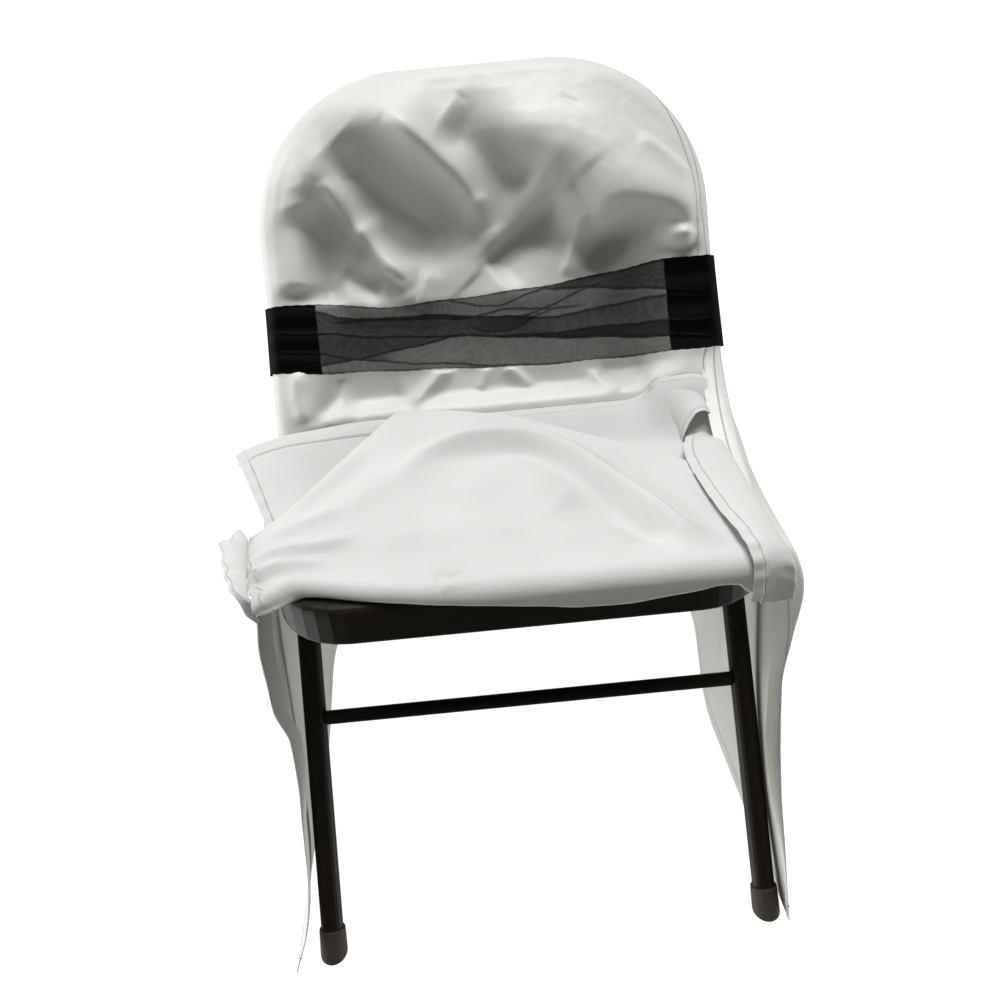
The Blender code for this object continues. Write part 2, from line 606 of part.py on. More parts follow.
def roll(x, shoulder_z):
    """The cover's turn at the seat's front edge, up to the shoulder of the top layer."""
    y, z = (read(ROLL_EDGE, "x", c, x) + LOW_SIDE[c] * ROLL_R for c in ("y", "z"))
    start = math.asin(min(max((z - SEAT_LAYER_Z) / ROLL_R, 0.0), 1.0))
    points = [(x, y + ROLL_R * math.cos(a), z - ROLL_R * math.sin(a))
              for a in np.linspace(start, math.pi, 5)]
    if z < SEAT_LAYER_Z - 0.003:
        points = [(x, y + ROLL_R + 0.0040, SEAT_LAYER_Z),
                  (x, y + ROLL_R + 0.0009, SEAT_LAYER_Z - 0.0012)] + points
    turn = shoulder_z - SHOULDER_R
    for a in np.linspace(0.0, math.pi / 2, 4):
        points.append((x, y - ROLL_R + SHOULDER_R * (1.0 - math.cos(a)),
                       max(turn, z) + SHOULDER_R * math.sin(a)))
    return points


def skirt_row(u):
    """One strip of the seat and skirt, from the seat seam forward, back, and under itself."""
    x = SEAT_LEFT + (SEAT_RIGHT - SEAT_LEFT) * u
    turn = roll(x, TURNED_Z - 0.002)
    points = seat_layer(x, turn[0][1] + 0.006) + turn
    edge_x = -0.223 + (0.183 + 0.223) * u
    fold_y, fold_z = (read(PLEAT_EDGE, "x", c, edge_x) for c in ("y", "z"))
    start_y, start_z = turn[-1][1], turn[-1][2]
    outward = 0.020 * (1.0 - ease(0.0, 0.10, u))
    for t in np.linspace(0.0, 1.0, 14)[1:]:
        y = start_y + (fold_y - 0.003 - start_y) * t
        wide = x + (edge_x - x) * ease(0.0, 0.35, t) - outward * math.sin(math.pi * t)**2
        z = turned_back_height(wide, max(y, 0.0))
        points.append((wide, y, start_z + (z - start_z) * ease(0.0, 0.25, t)))
    top = points[-1][2]
    tuck = 0.014 + 0.044 * ease(0.05, 0.5, u)
    under_x = edge_x + 0.024 * (1.0 - ease(0.0, 0.20, u))
    for a in (0.5, 1.0):
        points.append((edge_x, fold_y - 0.003 + 0.0022 * math.sin(a * math.pi),
                       top - 0.0022 * (1.0 - math.cos(a * math.pi))))
    points.append((under_x, fold_y - tuck, UNDER_Z + 0.0042))
    points.append((under_x, fold_y - tuck - 0.0021, UNDER_Z + 0.0021))
    hem_x = -0.255 + (0.185 + 0.255) * u
    hem_y, hem_z = (read(SKIRT_HEM, "x", c, hem_x) for c in ("y", "z"))
    for t in np.linspace(0.0, 1.0, 8):
        y = fold_y - tuck + (hem_y - fold_y + tuck) * t
        points.append((under_x + (hem_x - under_x) * t, y,
                       UNDER_Z + (hem_z - UNDER_Z) * ease(0.0, 1.0, t)))
    return points


def band_row(start):
    """The seat's right margin folded over the top layer, from the seat's edge to its hem."""
    x, y, z = start
    fold = read(BAND_FOLD, "y", "x", y)
    hem = read(BAND_HEM, "y", "x", y)
    top = max(z + 0.0165, TURNED_Z + 0.0075)
    points = [(x, y, z), (fold - 0.0015, y, z + 0.0008), (fold, y, z + 0.0040),
              (fold, y, top - 0.0050), (fold - 0.0020, y, top - 0.0015),
              (fold - 0.0070, y, top), ((fold + hem) / 2, y, top + 0.0010),
              (hem + 0.0040, y, top), (hem, y, top - 0.0010)]
    return respace(points, 7, 0.004)


def seat_skirt_grids(stations=21, columns=40):
    """The seat and skirt as one grid, and its folded-over right margin as a second."""
    rows = [respace(skirt_row(u), columns, 0.040) for u in np.linspace(0.0, 1.0, stations)]
    last = next(i for i, place in enumerate(rows[-1]) if place[1] < BAND_START)
    side = [place for place in rows[-1][:last] if place[1] < BAND_END]
    return np.array(rows), np.array([band_row(place) for place in side])


def sash_grid(columns=42, rows=6):
    """The sash: a closed band round the back, over the cover, in shallow pleats."""
    grid = []
    across = np.sin(np.linspace(-math.pi / 2, math.pi / 2, 121))
    for share in np.linspace(0.0, 1.0, rows):
        clear = SASH_CLEAR + SASH_PLEAT_DEPTH * math.cos(2 * math.pi * SASH_PLEATS * share)
        ends = [SASH_EDGES["low"][k] * (1.0 - share) + SASH_EDGES["top"][k] * share
                for k in (0, -1)]
        half = np.where(across < 0.0, hood_half(ends[0]), hood_half(ends[1])) + clear
        inside = half * (1.0 - np.abs(across))
        front = (HUG + clear) * round_edge(inside)
        back = -front - (0.0375 - HUG) * ease(0.012, 0.070, inside)
        loop = list(zip(across * half, front)) + list(zip(across * half, back))[-2:0:-1]
        places = []
        for x, out in loop:
            low, top = (read(SASH_EDGES, "x", c, x) for c in ("low", "top"))
            places.append(back_point(x, low + (top - low) * share, out))
        places.append(places[0])
        grid.append(respace(places, columns + 1)[:-1])
    return np.array(grid)


def main():
    clear_scene()
    builder = Builder()
    steel = make_material("painted_steel", (0.020, 0.017, 0.013), 0.42, 0.1)
    rubber = make_material("foot_rubber", (0.060, 0.048, 0.038), 0.75)
    satin = make_material("cover_satin", (0.72, 0.71, 0.69), 0.45)
    wrong_side = make_material("cover_wrong_side", (0.78, 0.79, 0.78), 0.80)
    organza = make_material("black_organza", (0.012, 0.012, 0.014), 0.55)
    build_front_tubes(builder, steel)
    build_back_rest(builder, steel)
    build_seat_pan(builder, steel)
    build_rear_legs(builder, steel)
    build_cross_tubes(builder, steel)
    build_pivots(builder, steel)
    build_feet(builder, rubber)
    builder.sheet("front_panel", [front_panel_grid()], CLOTH, satin)
    builder.sheet("rear_panel", [rear_panel_grid()], CLOTH, satin)
    builder.sheet("seat_skirt", seat_skirt_grids(), CLOTH, wrong_side)
    builder.sheet("sash", [sash_grid()], SASH_CLOTH, organza, ring=True)


main()
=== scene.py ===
"""Looks of a steel folding chair in a white satin cover with a black organza sash.

The cloth pieces are made here finer than the plain solids that they stand for: each follows the
same named curves, with its smaller folds, hems, seams and stitches added. The chair's own steel
and rubber solids are kept and given their finishes. Lengths are metres and +Z is up.
"""
import math
from functools import partialmethod

import bmesh
import bpy
import numpy as np
from bpy.props import FloatProperty, FloatVectorProperty, PointerProperty
from mathutils import Matrix, Vector


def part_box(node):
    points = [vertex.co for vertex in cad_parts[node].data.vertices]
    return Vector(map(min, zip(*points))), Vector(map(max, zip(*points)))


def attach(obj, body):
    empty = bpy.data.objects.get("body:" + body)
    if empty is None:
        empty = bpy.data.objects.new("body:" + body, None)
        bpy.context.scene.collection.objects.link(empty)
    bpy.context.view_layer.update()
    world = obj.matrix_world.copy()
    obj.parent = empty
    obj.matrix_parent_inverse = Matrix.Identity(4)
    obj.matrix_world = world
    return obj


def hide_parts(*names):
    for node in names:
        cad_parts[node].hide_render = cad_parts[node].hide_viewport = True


bl_info = {
    "name": "Chair cover with sash",
    "version": (1, 0, 0),
    "blender": (4, 5, 0),
    "location": "View3D > Sidebar > Chair Cover",
    "description": "Builds a folding chair's satin cover and organza sash round the packed model",
    "category": "Object",
}

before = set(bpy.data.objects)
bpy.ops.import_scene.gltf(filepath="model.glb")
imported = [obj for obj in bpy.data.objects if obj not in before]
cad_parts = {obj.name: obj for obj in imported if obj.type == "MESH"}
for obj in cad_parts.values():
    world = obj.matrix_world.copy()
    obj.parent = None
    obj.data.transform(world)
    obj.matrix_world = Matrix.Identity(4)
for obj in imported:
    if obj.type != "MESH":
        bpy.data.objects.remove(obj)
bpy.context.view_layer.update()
PAN_LOW, PAN_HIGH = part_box("seat_pan")

# Where the middle of the seat's front edge stands, straight down on the floor
PLACE = np.array(((PAN_LOW.x + PAN_HIGH.x) / 2, PAN_LOW.y, 0.0))
SEAT_TOP = PAN_HIGH.z

# Chair places that the cloth follows
KNEE = (0.2062, 0.221, 0.418)
LEG_FOOT = (0.2209, 0.003, 0.0)
BACK_LEAN = math.radians(28.7)
# The back tubes' straight length above the knee, and how far across they are at its end
TUBE_BEND, TUBE_BEND_X = 0.2075, 0.198
# The rear panel's distance from a tube's centre, and where its bend round the tube is centred
TUBE_REACH = 0.0130
TUBE_INNER = (-0.0048, -0.0036, 0.0)

# Cover and sash: the seat cloth's sides, and the heights of its layers on the seat
SEAT_LEFT, SEAT_RIGHT = -0.2005, 0.1960
SEAT_LAYER_Z = SEAT_TOP + 0.0026
TURNED_Z, UNDER_Z = 0.4555, 0.4465
# The skirt's roll at the seat's front edge, and its shoulder above that
ROLL_R, SHOULDER_R = 0.0035, 0.015
# From the roll's lowest front line to its centre, in y and z, in radii
LOW_SIDE = (0.53, 0.85)
# Across, where the turned-back skirt's upper fold and its bottom hem begin and end
PLEAT_ENDS, HEM_ENDS = (-0.223, 0.183), (-0.255, 0.185)
# Where the top layer stops short of that fold, the fold's radius, and that of the next one
PLEAT_SHORT, PLEAT_R, TUCK_R = 0.003, 0.0022, 0.0021
CURL_BULGE = 0.4
# The back rest under the hood's front: from and to where up the back, its bow and its clearance
REST_FOOT, REST_TOP, REST_BOW, REST_CLEAR = 0.190, 0.330, 0.024, 0.003
REST_SOFT = 0.002
# The hood's half width, height up the back, corner radius, and how much wider it is low down
HOOD_HALF, HOOD_TOP, HOOD_R, HOOD_FLARE = 0.2145, 0.3854, 0.145, 0.0035
# The width of cloth that turns round a tube, at most a share of the hood's half width
WRAP, WRAP_SHARE = 0.0165, 0.2
# The cloth's distance from a tube's centre, and each panel's from the seam between them
HUG, SEAM_SHIFT = 0.0138, 0.0004
# Columns of the strip of rear panel that comes round to the front at the right
STRIP_COLUMNS = 14
# The sash's distance from the cloth under it, and its depth behind the back
SASH_CLEAR, SASH_DEPTH = 0.0028, 0.0375
# The mark of a place that no hem is near, in hem widths
NO_HEM = 9.0
# Sizes of a stitch, unless a row has its own
STITCH = {"Pitch": 0.0030, "Length": 0.0022, "Radius": 0.00075, "Turn": 0.0}

# The seam of front panel and seat, left to right: up the back, and out in front of its tubes
SEAT_SEAM = {
    "x":   (-0.216, -0.19, -0.165, -0.13, 0.0, 0.12, 0.138, 0.152, 0.18, 0.205),
    "up":  (0.034, 0.036, 0.046, 0.056, 0.057, 0.057, 0.062, 0.074, 0.076, 0.07),
    "out": (0.014, 0.01, -0.004, -0.008, -0.009, -0.009, -0.006, 0.001, 0.014, 0.018),
}
# How far the front panel stands in front of the tubes along its middle, bottom to top
MIDDLE_SLACK = {
    "up":  (0.057, 0.07, 0.085, 0.1, 0.115, 0.15, 0.175, 0.195, 0.225, 0.26, 0.3, 0.386),
    "out": (-0.004, -0.016, -0.025, -0.026, -0.023, -0.013, -0.006, -0.006, -0.01, -0.005, 0.003,
            0.008),
}
# How far the loose cloth stands beyond its tube along the hood's rim, from the edge inwards: low
# down by the sash, high up along the top, and in the upper right corner
RIM = {
    "in":     (0.0, 0.01, 0.018, 0.027, 0.036, 0.045, 0.056, 0.066, 0.076, 0.1, 0.14, 0.18),
    "side":   (0.0, 0.001, 0.0055, 0.012, 0.015, 0.009, 0.003, 0.001, 0.0, 0.0, 0.0, 0.0),
    "top":    (0.0, 0.003, 0.0085, 0.015, 0.0195, 0.0225, 0.0245, 0.0252, 0.0255, 0.0215, 0.008,
               0.0),
    "corner": (0.0, 0.002, 0.0045, 0.0082, 0.012, 0.0178, 0.027, 0.0345, 0.038, 0.027, 0.008, 0.0),
}
# Folds of the front panel, each along a bent line of places (x, up). It is one half width wide on
# its upper side and another on its lower side; crest 2 is round and 1 is sharp.
HOOD_FOLDS = (
    # places x, up along the line; half widths above and below it; height, crest
    (-0.166, 0.266, -0.161, 0.222, -0.158, 0.172, 0.017, 0.024, -0.023, 2.0),
    (-0.146, 0.286, -0.122, 0.244, -0.098, 0.212, -0.08, 0.18, 0.016, 0.012, 0.015, 1.7),
    (-0.134, 0.318, -0.108, 0.286, -0.082, 0.25, -0.056, 0.216, 0.024, 0.02, -0.024, 2.0),
    (-0.082, 0.336, -0.05, 0.305, -0.018, 0.272, 0.004, 0.232, 0.013, 0.014, 0.015, 1.7),
    (-0.03, 0.33, 0.01, 0.3, 0.045, 0.262, 0.028, 0.022, -0.021, 2.0),
    (0.072, 0.252, 0.036, 0.226, -0.003, 0.197, 0.007, 0.032, -0.018, 1.4),
    (0.066, 0.262, 0.03, 0.236, -0.004, 0.214, 0.014, 0.005, 0.006, 1.6),
    (0.098, 0.236, 0.124, 0.246, 0.152, 0.242, 0.18, 0.23, 0.2, 0.214, 0.036, 0.011, 0.015, 1.8),
    (0.072, 0.262, 0.084, 0.24, 0.09, 0.214, 0.01, 0.016, 0.005, 1.8),
    (0.094, 0.18, 0.116, 0.206, 0.14, 0.219, 0.166, 0.221, 0.19, 0.212, 0.01, 0.018, -0.018, 1.8),
    (0.163, 0.222, 0.178, 0.21, 0.196, 0.2, 0.009, 0.008, 0.009, 1.8),
    (0.15, 0.3, 0.172, 0.281, 0.197, 0.259, 0.004, 0.01, 0.004, 1.6),
    (-0.181, 0.282, -0.16, 0.28, -0.139, 0.277, 0.002, 0.003, 0.0012, 1.4),
    (-0.017, 0.354, -0.013, 0.351, -0.006, 0.346, 0.002, 0.003, -0.0014, 1.6),
    (0.081, 0.341, 0.088, 0.336, 0.098, 0.33, 0.002, 0.003, -0.0014, 1.6),
    (-0.128, 0.286, -0.123, 0.291, -0.116, 0.297, 0.002, 0.003, -0.002, 1.5),
    (-0.068, 0.161, -0.066, 0.18, -0.058, 0.2, 0.003, 0.012, 0.0045, 1.6),
    (0.07, 0.182, 0.08, 0.205, 0.088, 0.226, 0.003, 0.014, 0.0054, 1.6),
    (-0.098, 0.203, -0.09, 0.196, -0.082, 0.188, 0.002, 0.003, -0.0024, 1.5),
    (-0.046, 0.11, -0.057, 0.1, -0.072, 0.086, -0.09, 0.072, 0.005, 0.008, 0.011, 1.5),
    (-0.155, 0.078, -0.12, 0.078, -0.092, 0.084, 0.02, 0.008, -0.011, 2.0),
    (-0.01, 0.08, 0.04, 0.078, 0.09, 0.08, 0.018, 0.008, -0.006, 2.0),
    (-0.012, 0.104, -0.014, 0.094, -0.02, 0.08, 0.004, 0.006, 0.005, 1.5),
    (0.008, 0.104, 0.018, 0.094, 0.032, 0.08, 0.004, 0.007, 0.006, 1.5),
    (0.092, 0.088, 0.104, 0.078, 0.12, 0.068, 0.004, 0.008, 0.007, 1.5),
    (0.1, 0.092, 0.126, 0.09, 0.156, 0.094, 0.012, 0.014, -0.011, 2.0),
    (-0.156, 0.112, -0.162, 0.092, -0.176, 0.066, 0.006, 0.01, -0.012, 1.7),
    (-0.19, 0.112, -0.192, 0.09, -0.188, 0.062, 0.01, 0.01, 0.006, 1.8),
    (-0.16, 0.072, -0.125, 0.068, -0.09, 0.07, 0.008, 0.01, 0.006, 1.7),
    (-0.128, 0.23, -0.108, 0.244, -0.09, 0.262, 0.008, 0.01, 0.005, 1.7),
    (-0.142, 0.206, -0.124, 0.19, -0.104, 0.178, 0.01, 0.01, -0.008, 1.8),
    (-0.02, 0.236, -0.01, 0.25, 0.006, 0.262, 0.005, 0.008, 0.0024, 1.7),
)

# The rear panel's free side edges below the seat seam, top to bottom, each with its wall's x
# beside the front leg and half way back, and how far its front hem turns inwards
LEFT_WALL = {
    "x":    (-0.2165, -0.2205, -0.2215, -0.226, -0.2253, -0.2166, -0.2172, -0.2213, -0.2273, -0.238,
             -0.256),
    "y":    (0.19, 0.115, 0.056, 0.045, 0.036, 0.03, 0.023, 0.013, 0.001, -0.009, -0.017),
    "z":    (0.438, 0.424, 0.4, 0.36, 0.307, 0.271, 0.23, 0.177, 0.107, 0.055, 0.004),
    "leg":  (-0.222, -0.225, -0.227, -0.23, -0.231, -0.23, -0.231, -0.234, -0.236, -0.24, -0.2425),
    "mid":  (-0.226, -0.229, -0.232, -0.236, -0.239, -0.242, -0.244, -0.246, -0.248, -0.25, -0.252),
    "turn": (0.0, 0.006, 0.011, 0.012, 0.01, 0.009, 0.006, 0.002, 0.0, 0.0, 0.0),
}
RIGHT_WALL = {
    "x":    (0.21, 0.209, 0.233, 0.239, 0.231, 0.2225, 0.223, 0.226, 0.231, 0.2345, 0.239),
    "y":    (0.19, 0.115, 0.062, 0.049, 0.04, 0.031, 0.022, 0.012, -0.001, -0.009, -0.017),
    "z":    (0.452, 0.43, 0.405, 0.375, 0.33, 0.28, 0.23, 0.165, 0.1, 0.055, 0.004),
    "leg":  (0.218, 0.216, 0.23, 0.232, 0.231, 0.23, 0.2305, 0.232, 0.2345, 0.237, 0.2385),
    "mid":  (0.2205, 0.224, 0.231, 0.232, 0.232, 0.231, 0.23, 0.23, 0.229, 0.228, 0.228),
    "turn": (0.025, 0.016, 0.022, 0.024, 0.014, 0.01, 0.012, 0.008, 0.003, 0.0, 0.0),
}
# The rear panel behind the chair at the same sections: y, z, half widths, squareness of corners
REAR_WALL = {
    "y":      (0.35, 0.391, 0.399, 0.402, 0.405, 0.408, 0.414, 0.429, 0.463, 0.494, 0.52),
    "z":      (0.455, 0.441, 0.405, 0.355, 0.305, 0.255, 0.205, 0.15, 0.09, 0.045, 0.004),
    "left":   (0.226, 0.235, 0.24, 0.244, 0.247, 0.251, 0.254, 0.258, 0.262, 0.264, 0.264),
    "right":  (0.224, 0.23, 0.235, 0.238, 0.24, 0.243, 0.246, 0.25, 0.254, 0.257, 0.259),
    "square": (4.5, 6.0, 7.0, 8.0, 9.0, 10.0, 11.0, 12.0, 13.0, 14.0, 14.0),
}
HEM_RIPPLE, RIPPLES = 0.005, 6.0
# Folds of the hanging side walls, in the hood's form, with places (y, z)
LEFT_FOLDS = (
    (0.064, 0.42, 0.056, 0.3, 0.05, 0.18, 0.044, 0.06, 0.014, 0.018, -0.005, 2.0),
    (0.11, 0.4, 0.104, 0.26, 0.096, 0.12, 0.016, 0.02, 0.005, 2.0),
    (0.2, 0.38, 0.19, 0.22, 0.18, 0.06, 0.03, 0.034, -0.006, 2.0),
)
RIGHT_FOLDS = (
    (0.09, 0.41, 0.076, 0.32, 0.072, 0.22, 0.07, 0.11, 0.016, 0.014, 0.005, 2.0),
    (0.06, 0.36, 0.05, 0.26, 0.044, 0.14, 0.012, 0.014, -0.0045, 2.0),
    (0.18, 0.38, 0.17, 0.24, 0.16, 0.08, 0.026, 0.03, 0.006, 2.0),
    (0.236, 0.35, 0.226, 0.22, 0.216, 0.07, 0.02, 0.026, -0.005, 2.0),
)
# The rear panel behind the hood: its depth at places up the back, and from the seat seam, 0, to
# the top seam, 1, how much higher its middle sits than its sides
HOOD_BACK = {
    "up":    (0.034, 0.06, 0.08, 0.092, 0.14, 0.39),
    "depth": (0.058, 0.052, 0.042, 0.0355, 0.034, 0.034),
    "v":     (0.0, 0.06, 0.125, 0.19, 0.3, 1.0),
    "lift":  (0.026, 0.01, 0.002, 0.0, 0.0, 0.0),
}

# The folded-back skirt's upper fold edge, left to right
PLEAT_EDGE = {
    "x": (-0.223, -0.201, -0.182, -0.151, -0.126, -0.095, -0.06, 0.0, 0.043, 0.087, 0.129, 0.159,
          0.185),
    "y": (0.09, 0.105, 0.126, 0.175, 0.212, 0.25, 0.246, 0.229, 0.21, 0.188, 0.163, 0.135, 0.105),
    "z": (0.456, 0.46, 0.465, 0.47, 0.474, 0.478, 0.477, 0.474, 0.469, 0.463, 0.46, 0.459, 0.457),
}
# Its bottom hem, which shows at the left and is hidden under the pleat further right
SKIRT_HEM = {
    "x": (-0.255, -0.231, -0.2, -0.18, -0.145, -0.111, -0.085, -0.05, 0.0, 0.08, 0.185),
    "y": (0.215, 0.22, 0.225, 0.23, 0.24, 0.247, 0.243, 0.228, 0.203, 0.166, 0.082),
    "z": (0.4645, 0.472, 0.476, 0.4755, 0.474, 0.4705, 0.468, 0.46, 0.451, 0.448, 0.4475),
}
# Lowest front line of the skirt's roll, on the seat at the left and hanging over its front edge
ROLL_EDGE = {
    "x": (-0.2005, -0.189, -0.167, -0.151, -0.132, -0.096, -0.059, -0.035, -0.005, 0.018, 0.045,
          0.079, 0.107, 0.134, 0.152, 0.164, 0.172, 0.182, 0.192, 0.1985),
    "y": (0.0, 0.006, 0.018, 0.015, 0.009, 0.0, -0.007, *(-0.0083,) * 13),
    "z": (0.44, 0.44, 0.44, 0.44, 0.44, 0.44, 0.439, 0.4365, 0.4325, 0.4295, 0.4255, 0.4245, 0.4275,
          0.4305, 0.4335, 0.4325, 0.425, 0.422, 0.4165, 0.4165),
}
# Folds of the turned-back skirt, in the same form as the hood's, with places (x, y)
SKIRT_FOLDS = (
    # places x, y along the line; half widths above and below it; height, crest
    (-0.092, 0.148, -0.066, 0.172, -0.03, 0.186, 0.012, 0.184, 0.052, 0.16, 0.088, 0.112, 0.118,
     0.062, 0.14, 0.02, 0.152, -0.006, 0.012, 0.01, 0.012, 1.8),
    (-0.05, 0.16, 0.01, 0.164, 0.04, 0.142, 0.072, 0.1, 0.102, 0.05, 0.126, 0.01, 0.01, 0.014,
     -0.006, 2.0),
    (0.04, 0.094, 0.08, 0.06, 0.112, 0.02, 0.022, 0.026, -0.0085, 2.0),
    (0.092, 0.132, 0.124, 0.084, 0.15, 0.03, 0.008, 0.009, -0.007, 2.0),
    (-0.216, 0.048, -0.188, 0.054, -0.16, 0.056, -0.132, 0.062, 0.007, 0.007, 0.006, 1.7),
    (-0.214, 0.032, -0.184, 0.038, -0.15, 0.036, 0.006, 0.008, 0.0055, 1.7),
    (-0.214, 0.03, -0.2, 0.022, -0.184, 0.012, 0.009, 0.009, -0.0085, 1.8),
    (-0.208, 0.076, -0.18, 0.084, -0.148, 0.1, 0.009, 0.008, 0.004, 1.8),
    (-0.186, 0.108, -0.15, 0.14, -0.112, 0.184, 0.012, 0.016, -0.003, 2.0),
    (-0.15, 0.1, -0.11, 0.128, -0.07, 0.14, 0.018, 0.014, 0.0032, 2.0),
    (-0.05, 0.11, 0.0, 0.128, 0.05, 0.096, 0.016, 0.02, 0.0026, 2.0),
    (-0.12, 0.052, -0.06, 0.064, 0.01, 0.05, 0.018, 0.018, 0.0034, 2.0),
    (0.02, 0.034, 0.06, 0.046, 0.096, 0.03, 0.014, 0.014, 0.0022, 2.0),
    (-0.09, 0.02, -0.04, 0.03, 0.0, 0.022, 0.009, 0.01, 0.002, 1.8),
)
# Where the skirt's left edge lies behind the seat's front edge
SKIRT_LEFT = {
    "y": (-0.01, 0.0, 0.005, 0.012, 0.03, 0.06, 0.09),
    "x": (-0.2085, -0.2085, -0.2092, -0.2115, -0.215, -0.22, -0.223),
}
# A strip of hem curled up at the left end of the skirt, from its top down
CURL = {
    "inner_x": (-0.225, -0.221, -0.22, -0.218, -0.215, -0.212, -0.209, -0.208, -0.2055),
    "inner_y": (0.085, 0.071, 0.062, 0.048, 0.032, 0.013, 0.004, 0.003, 0.002),
    "inner_z": (0.458, 0.458, 0.458, 0.458, 0.458, 0.4575, 0.451, 0.441, 0.433),
    "outer_x": (-0.233, -0.239, -0.245, -0.24, -0.235, -0.228, -0.219, -0.215, -0.2085),
    "outer_y": (0.095, 0.081, 0.077, 0.06, 0.039, 0.02, 0.005, 0.004, 0.002),
    "outer_z": (0.4575, 0.4575, 0.4575, 0.4575, 0.4575, 0.457, 0.452, 0.4405, 0.432),
}
# The seat's right margin folded over the top layer: its upper face from the rear over the front
# edge, its outer fold and its hem, and how deep it reaches down to the seat
BAND = {
    "y":    (0.228, 0.202, 0.175, 0.13, 0.06, 0.018, -0.005, -0.015, -0.0168, -0.016),
    "z":    (0.448, 0.449, 0.456, 0.4625, 0.464, 0.465, 0.461, 0.449, 0.434, 0.4195),
    "fold": (0.1975, 0.1975, 0.1975, 0.1975, 0.1985, 0.1995, 0.202, 0.2045, 0.206, 0.206),
    "hem":  (0.1735, 0.171, 0.162, 0.1555, 0.1615, 0.1685, 0.172, 0.1735, 0.1735, 0.1725),
    "deep": (0.0065, 0.008, 0.015, 0.0215, 0.023, 0.024, 0.018, 0.008, 0.005, 0.005),
}
# The rear end of that margin, standing open as a small arch: from its mouth to where it closes
ARCH = {
    "y":     (0.199, 0.21, 0.224, 0.24, 0.25),
    "left":  (0.1675, 0.164, 0.157, 0.149, 0.143),
    "right": (0.2015, 0.2025, 0.203, 0.2035, 0.2035),
    "base":  (0.44, 0.442, 0.45, 0.464, 0.472),
    "rise":  (0.029, 0.0305, 0.0285, 0.0215, 0.016),
}

# The sash across the front and round the back: its lower and upper edge, measured up the back
SASH_EDGES = {
    "x":   (-0.216, -0.17, -0.1, -0.044, 0.05, 0.114, 0.178, 0.216),
    "low": (0.1116, 0.1076, 0.104, 0.101, 0.0965, 0.0966, 0.0985, 0.0993),
    "top": (0.174, 0.1735, 0.1643, 0.166, 0.1707, 0.178, 0.1855, 0.1858),
}
# Folds that run along the sash, left to right: places across, and shares of its width from its
# lower edge, 0, to its upper edge, 1
SASH_FOLDS = {
    "main":   ((-0.214, -0.165, -0.101, -0.026, 0.018, 0.054, 0.166, 0.214),
               (0.62, 0.57, 0.53, 0.46, 0.4, 0.34, 0.175, 0.12)),
    "upper":  ((-0.214, -0.195, -0.174, -0.147, -0.113, -0.06, -0.03, 0.01, 0.048, 0.09,
                0.133, 0.169, 0.214),
               (0.97, 0.99, 0.91, 0.81, 0.82, 0.82, 0.73, 0.68, 0.6, 0.6, 0.63, 0.6, 0.56)),
    "second": ((-0.16, -0.113, -0.074, -0.03, 0.01, 0.045, 0.09),
               (0.72, 0.8, 0.78, 0.7, 0.77, 0.72, 0.66)),
    "lower":  ((-0.214, -0.159, -0.125, -0.083, -0.043, -0.01),
               (0.0, 0.13, 0.225, 0.35, 0.45, 0.47)),
    "bottom": ((-0.214, -0.167, -0.121, -0.074, 0.004, 0.06),
               (0.34, 0.29, 0.17, 0.1, 0.02, 0.0)),
    "right":  ((-0.034, 0.032, 0.075, 0.117, 0.168, 0.214),
               (0.46, 0.4, 0.39, 0.38, 0.33, 0.3)),
    "crest":  ((-0.048, -0.012, 0.01, 0.033, 0.05, 0.077, 0.117, 0.145, 0.17, 0.214),
               (1.0, 0.86, 0.83, 0.92, 0.97, 0.91, 0.81, 0.74, 0.66, 0.6)),
    "loop":   ((-0.031, -0.009, 0.019, 0.042, 0.06), (0.61, 0.49, 0.5, 0.64, 0.7)),
    "cross":  ((0.01, 0.037, 0.078, 0.11), (0.58, 0.67, 0.84, 0.9)),
}
# Where one more layer lies between two of those folds: lower, upper, from x, to x, layers
SASH_LAYERS = (
    ("main", "upper", -0.23, 0.23, 1.0),
    ("lower", "main", -0.23, -0.02, 1.0),
    ("bottom", "lower", -0.23, -0.09, 0.8),
    ("right", "upper", 0.03, 0.23, -0.35),
    ("crest", "top", 0.04, 0.23, 0.9),
    ("main", "right", -0.03, 0.23, 0.6),
    ("second", "upper", -0.16, 0.0, 0.6),
    ("loop", "upper", -0.03, 0.06, 0.5),
)
# Beyond these places across, where it turns round the back, the sash is opaque: partly its gathered
# layers, partly painted shade of the dark cloth behind it
SASH_ENDS = (-0.168, 0.1665)

# A faint smudge on the seat cloth near its front edge
SMUDGE = (-0.056, 0.002, 0.4485)

# The studio's soft lights: name, strength, angle across in degrees, and where each comes from
STUDIO_LIGHTS = (
    ("Overhead light", 2.98, 30.0, (0.05, 0.02, 1.0)),
    ("Left light", 2.0, 46.0, (-0.94, 0.2, 0.27)),
    ("Right light", 0.55, 46.0, (0.94, 0.2, 0.27)),
    ("Low left light", 2.2, 50.0, (-0.8, 0.05, -0.6)),
    ("Low right light", 1.3, 50.0, (0.8, 0.05, -0.6)),
)
# The camera's place and aim from the seat's front, its roll in degrees and its focal length
CAMERA_PLACE = (-0.0191, -0.578, 0.8907)
CAMERA_AIM = (-0.0108, 0.15, 0.4286)
CAMERA_ROLL, CAMERA_LENS = -5.0923, 34.2
FLOOR_REACH = 40.0


# --- Curves and small formulas --------------------------------------------------------------

def ease(low, high, value):
    """0 below low, 1 above high and a smooth step between them."""
    t = np.clip((np.asarray(value, float) - low) / (high - low), 0.0, 1.0)
    return t * t * (3.0 - 2.0 * t)


def window(low, high, value, soft):
    """1 between low and high and 0 beyond them, with a smooth step inside each end."""
    return ease(low, low + soft, value) * ease(-high, soft - high, -value)


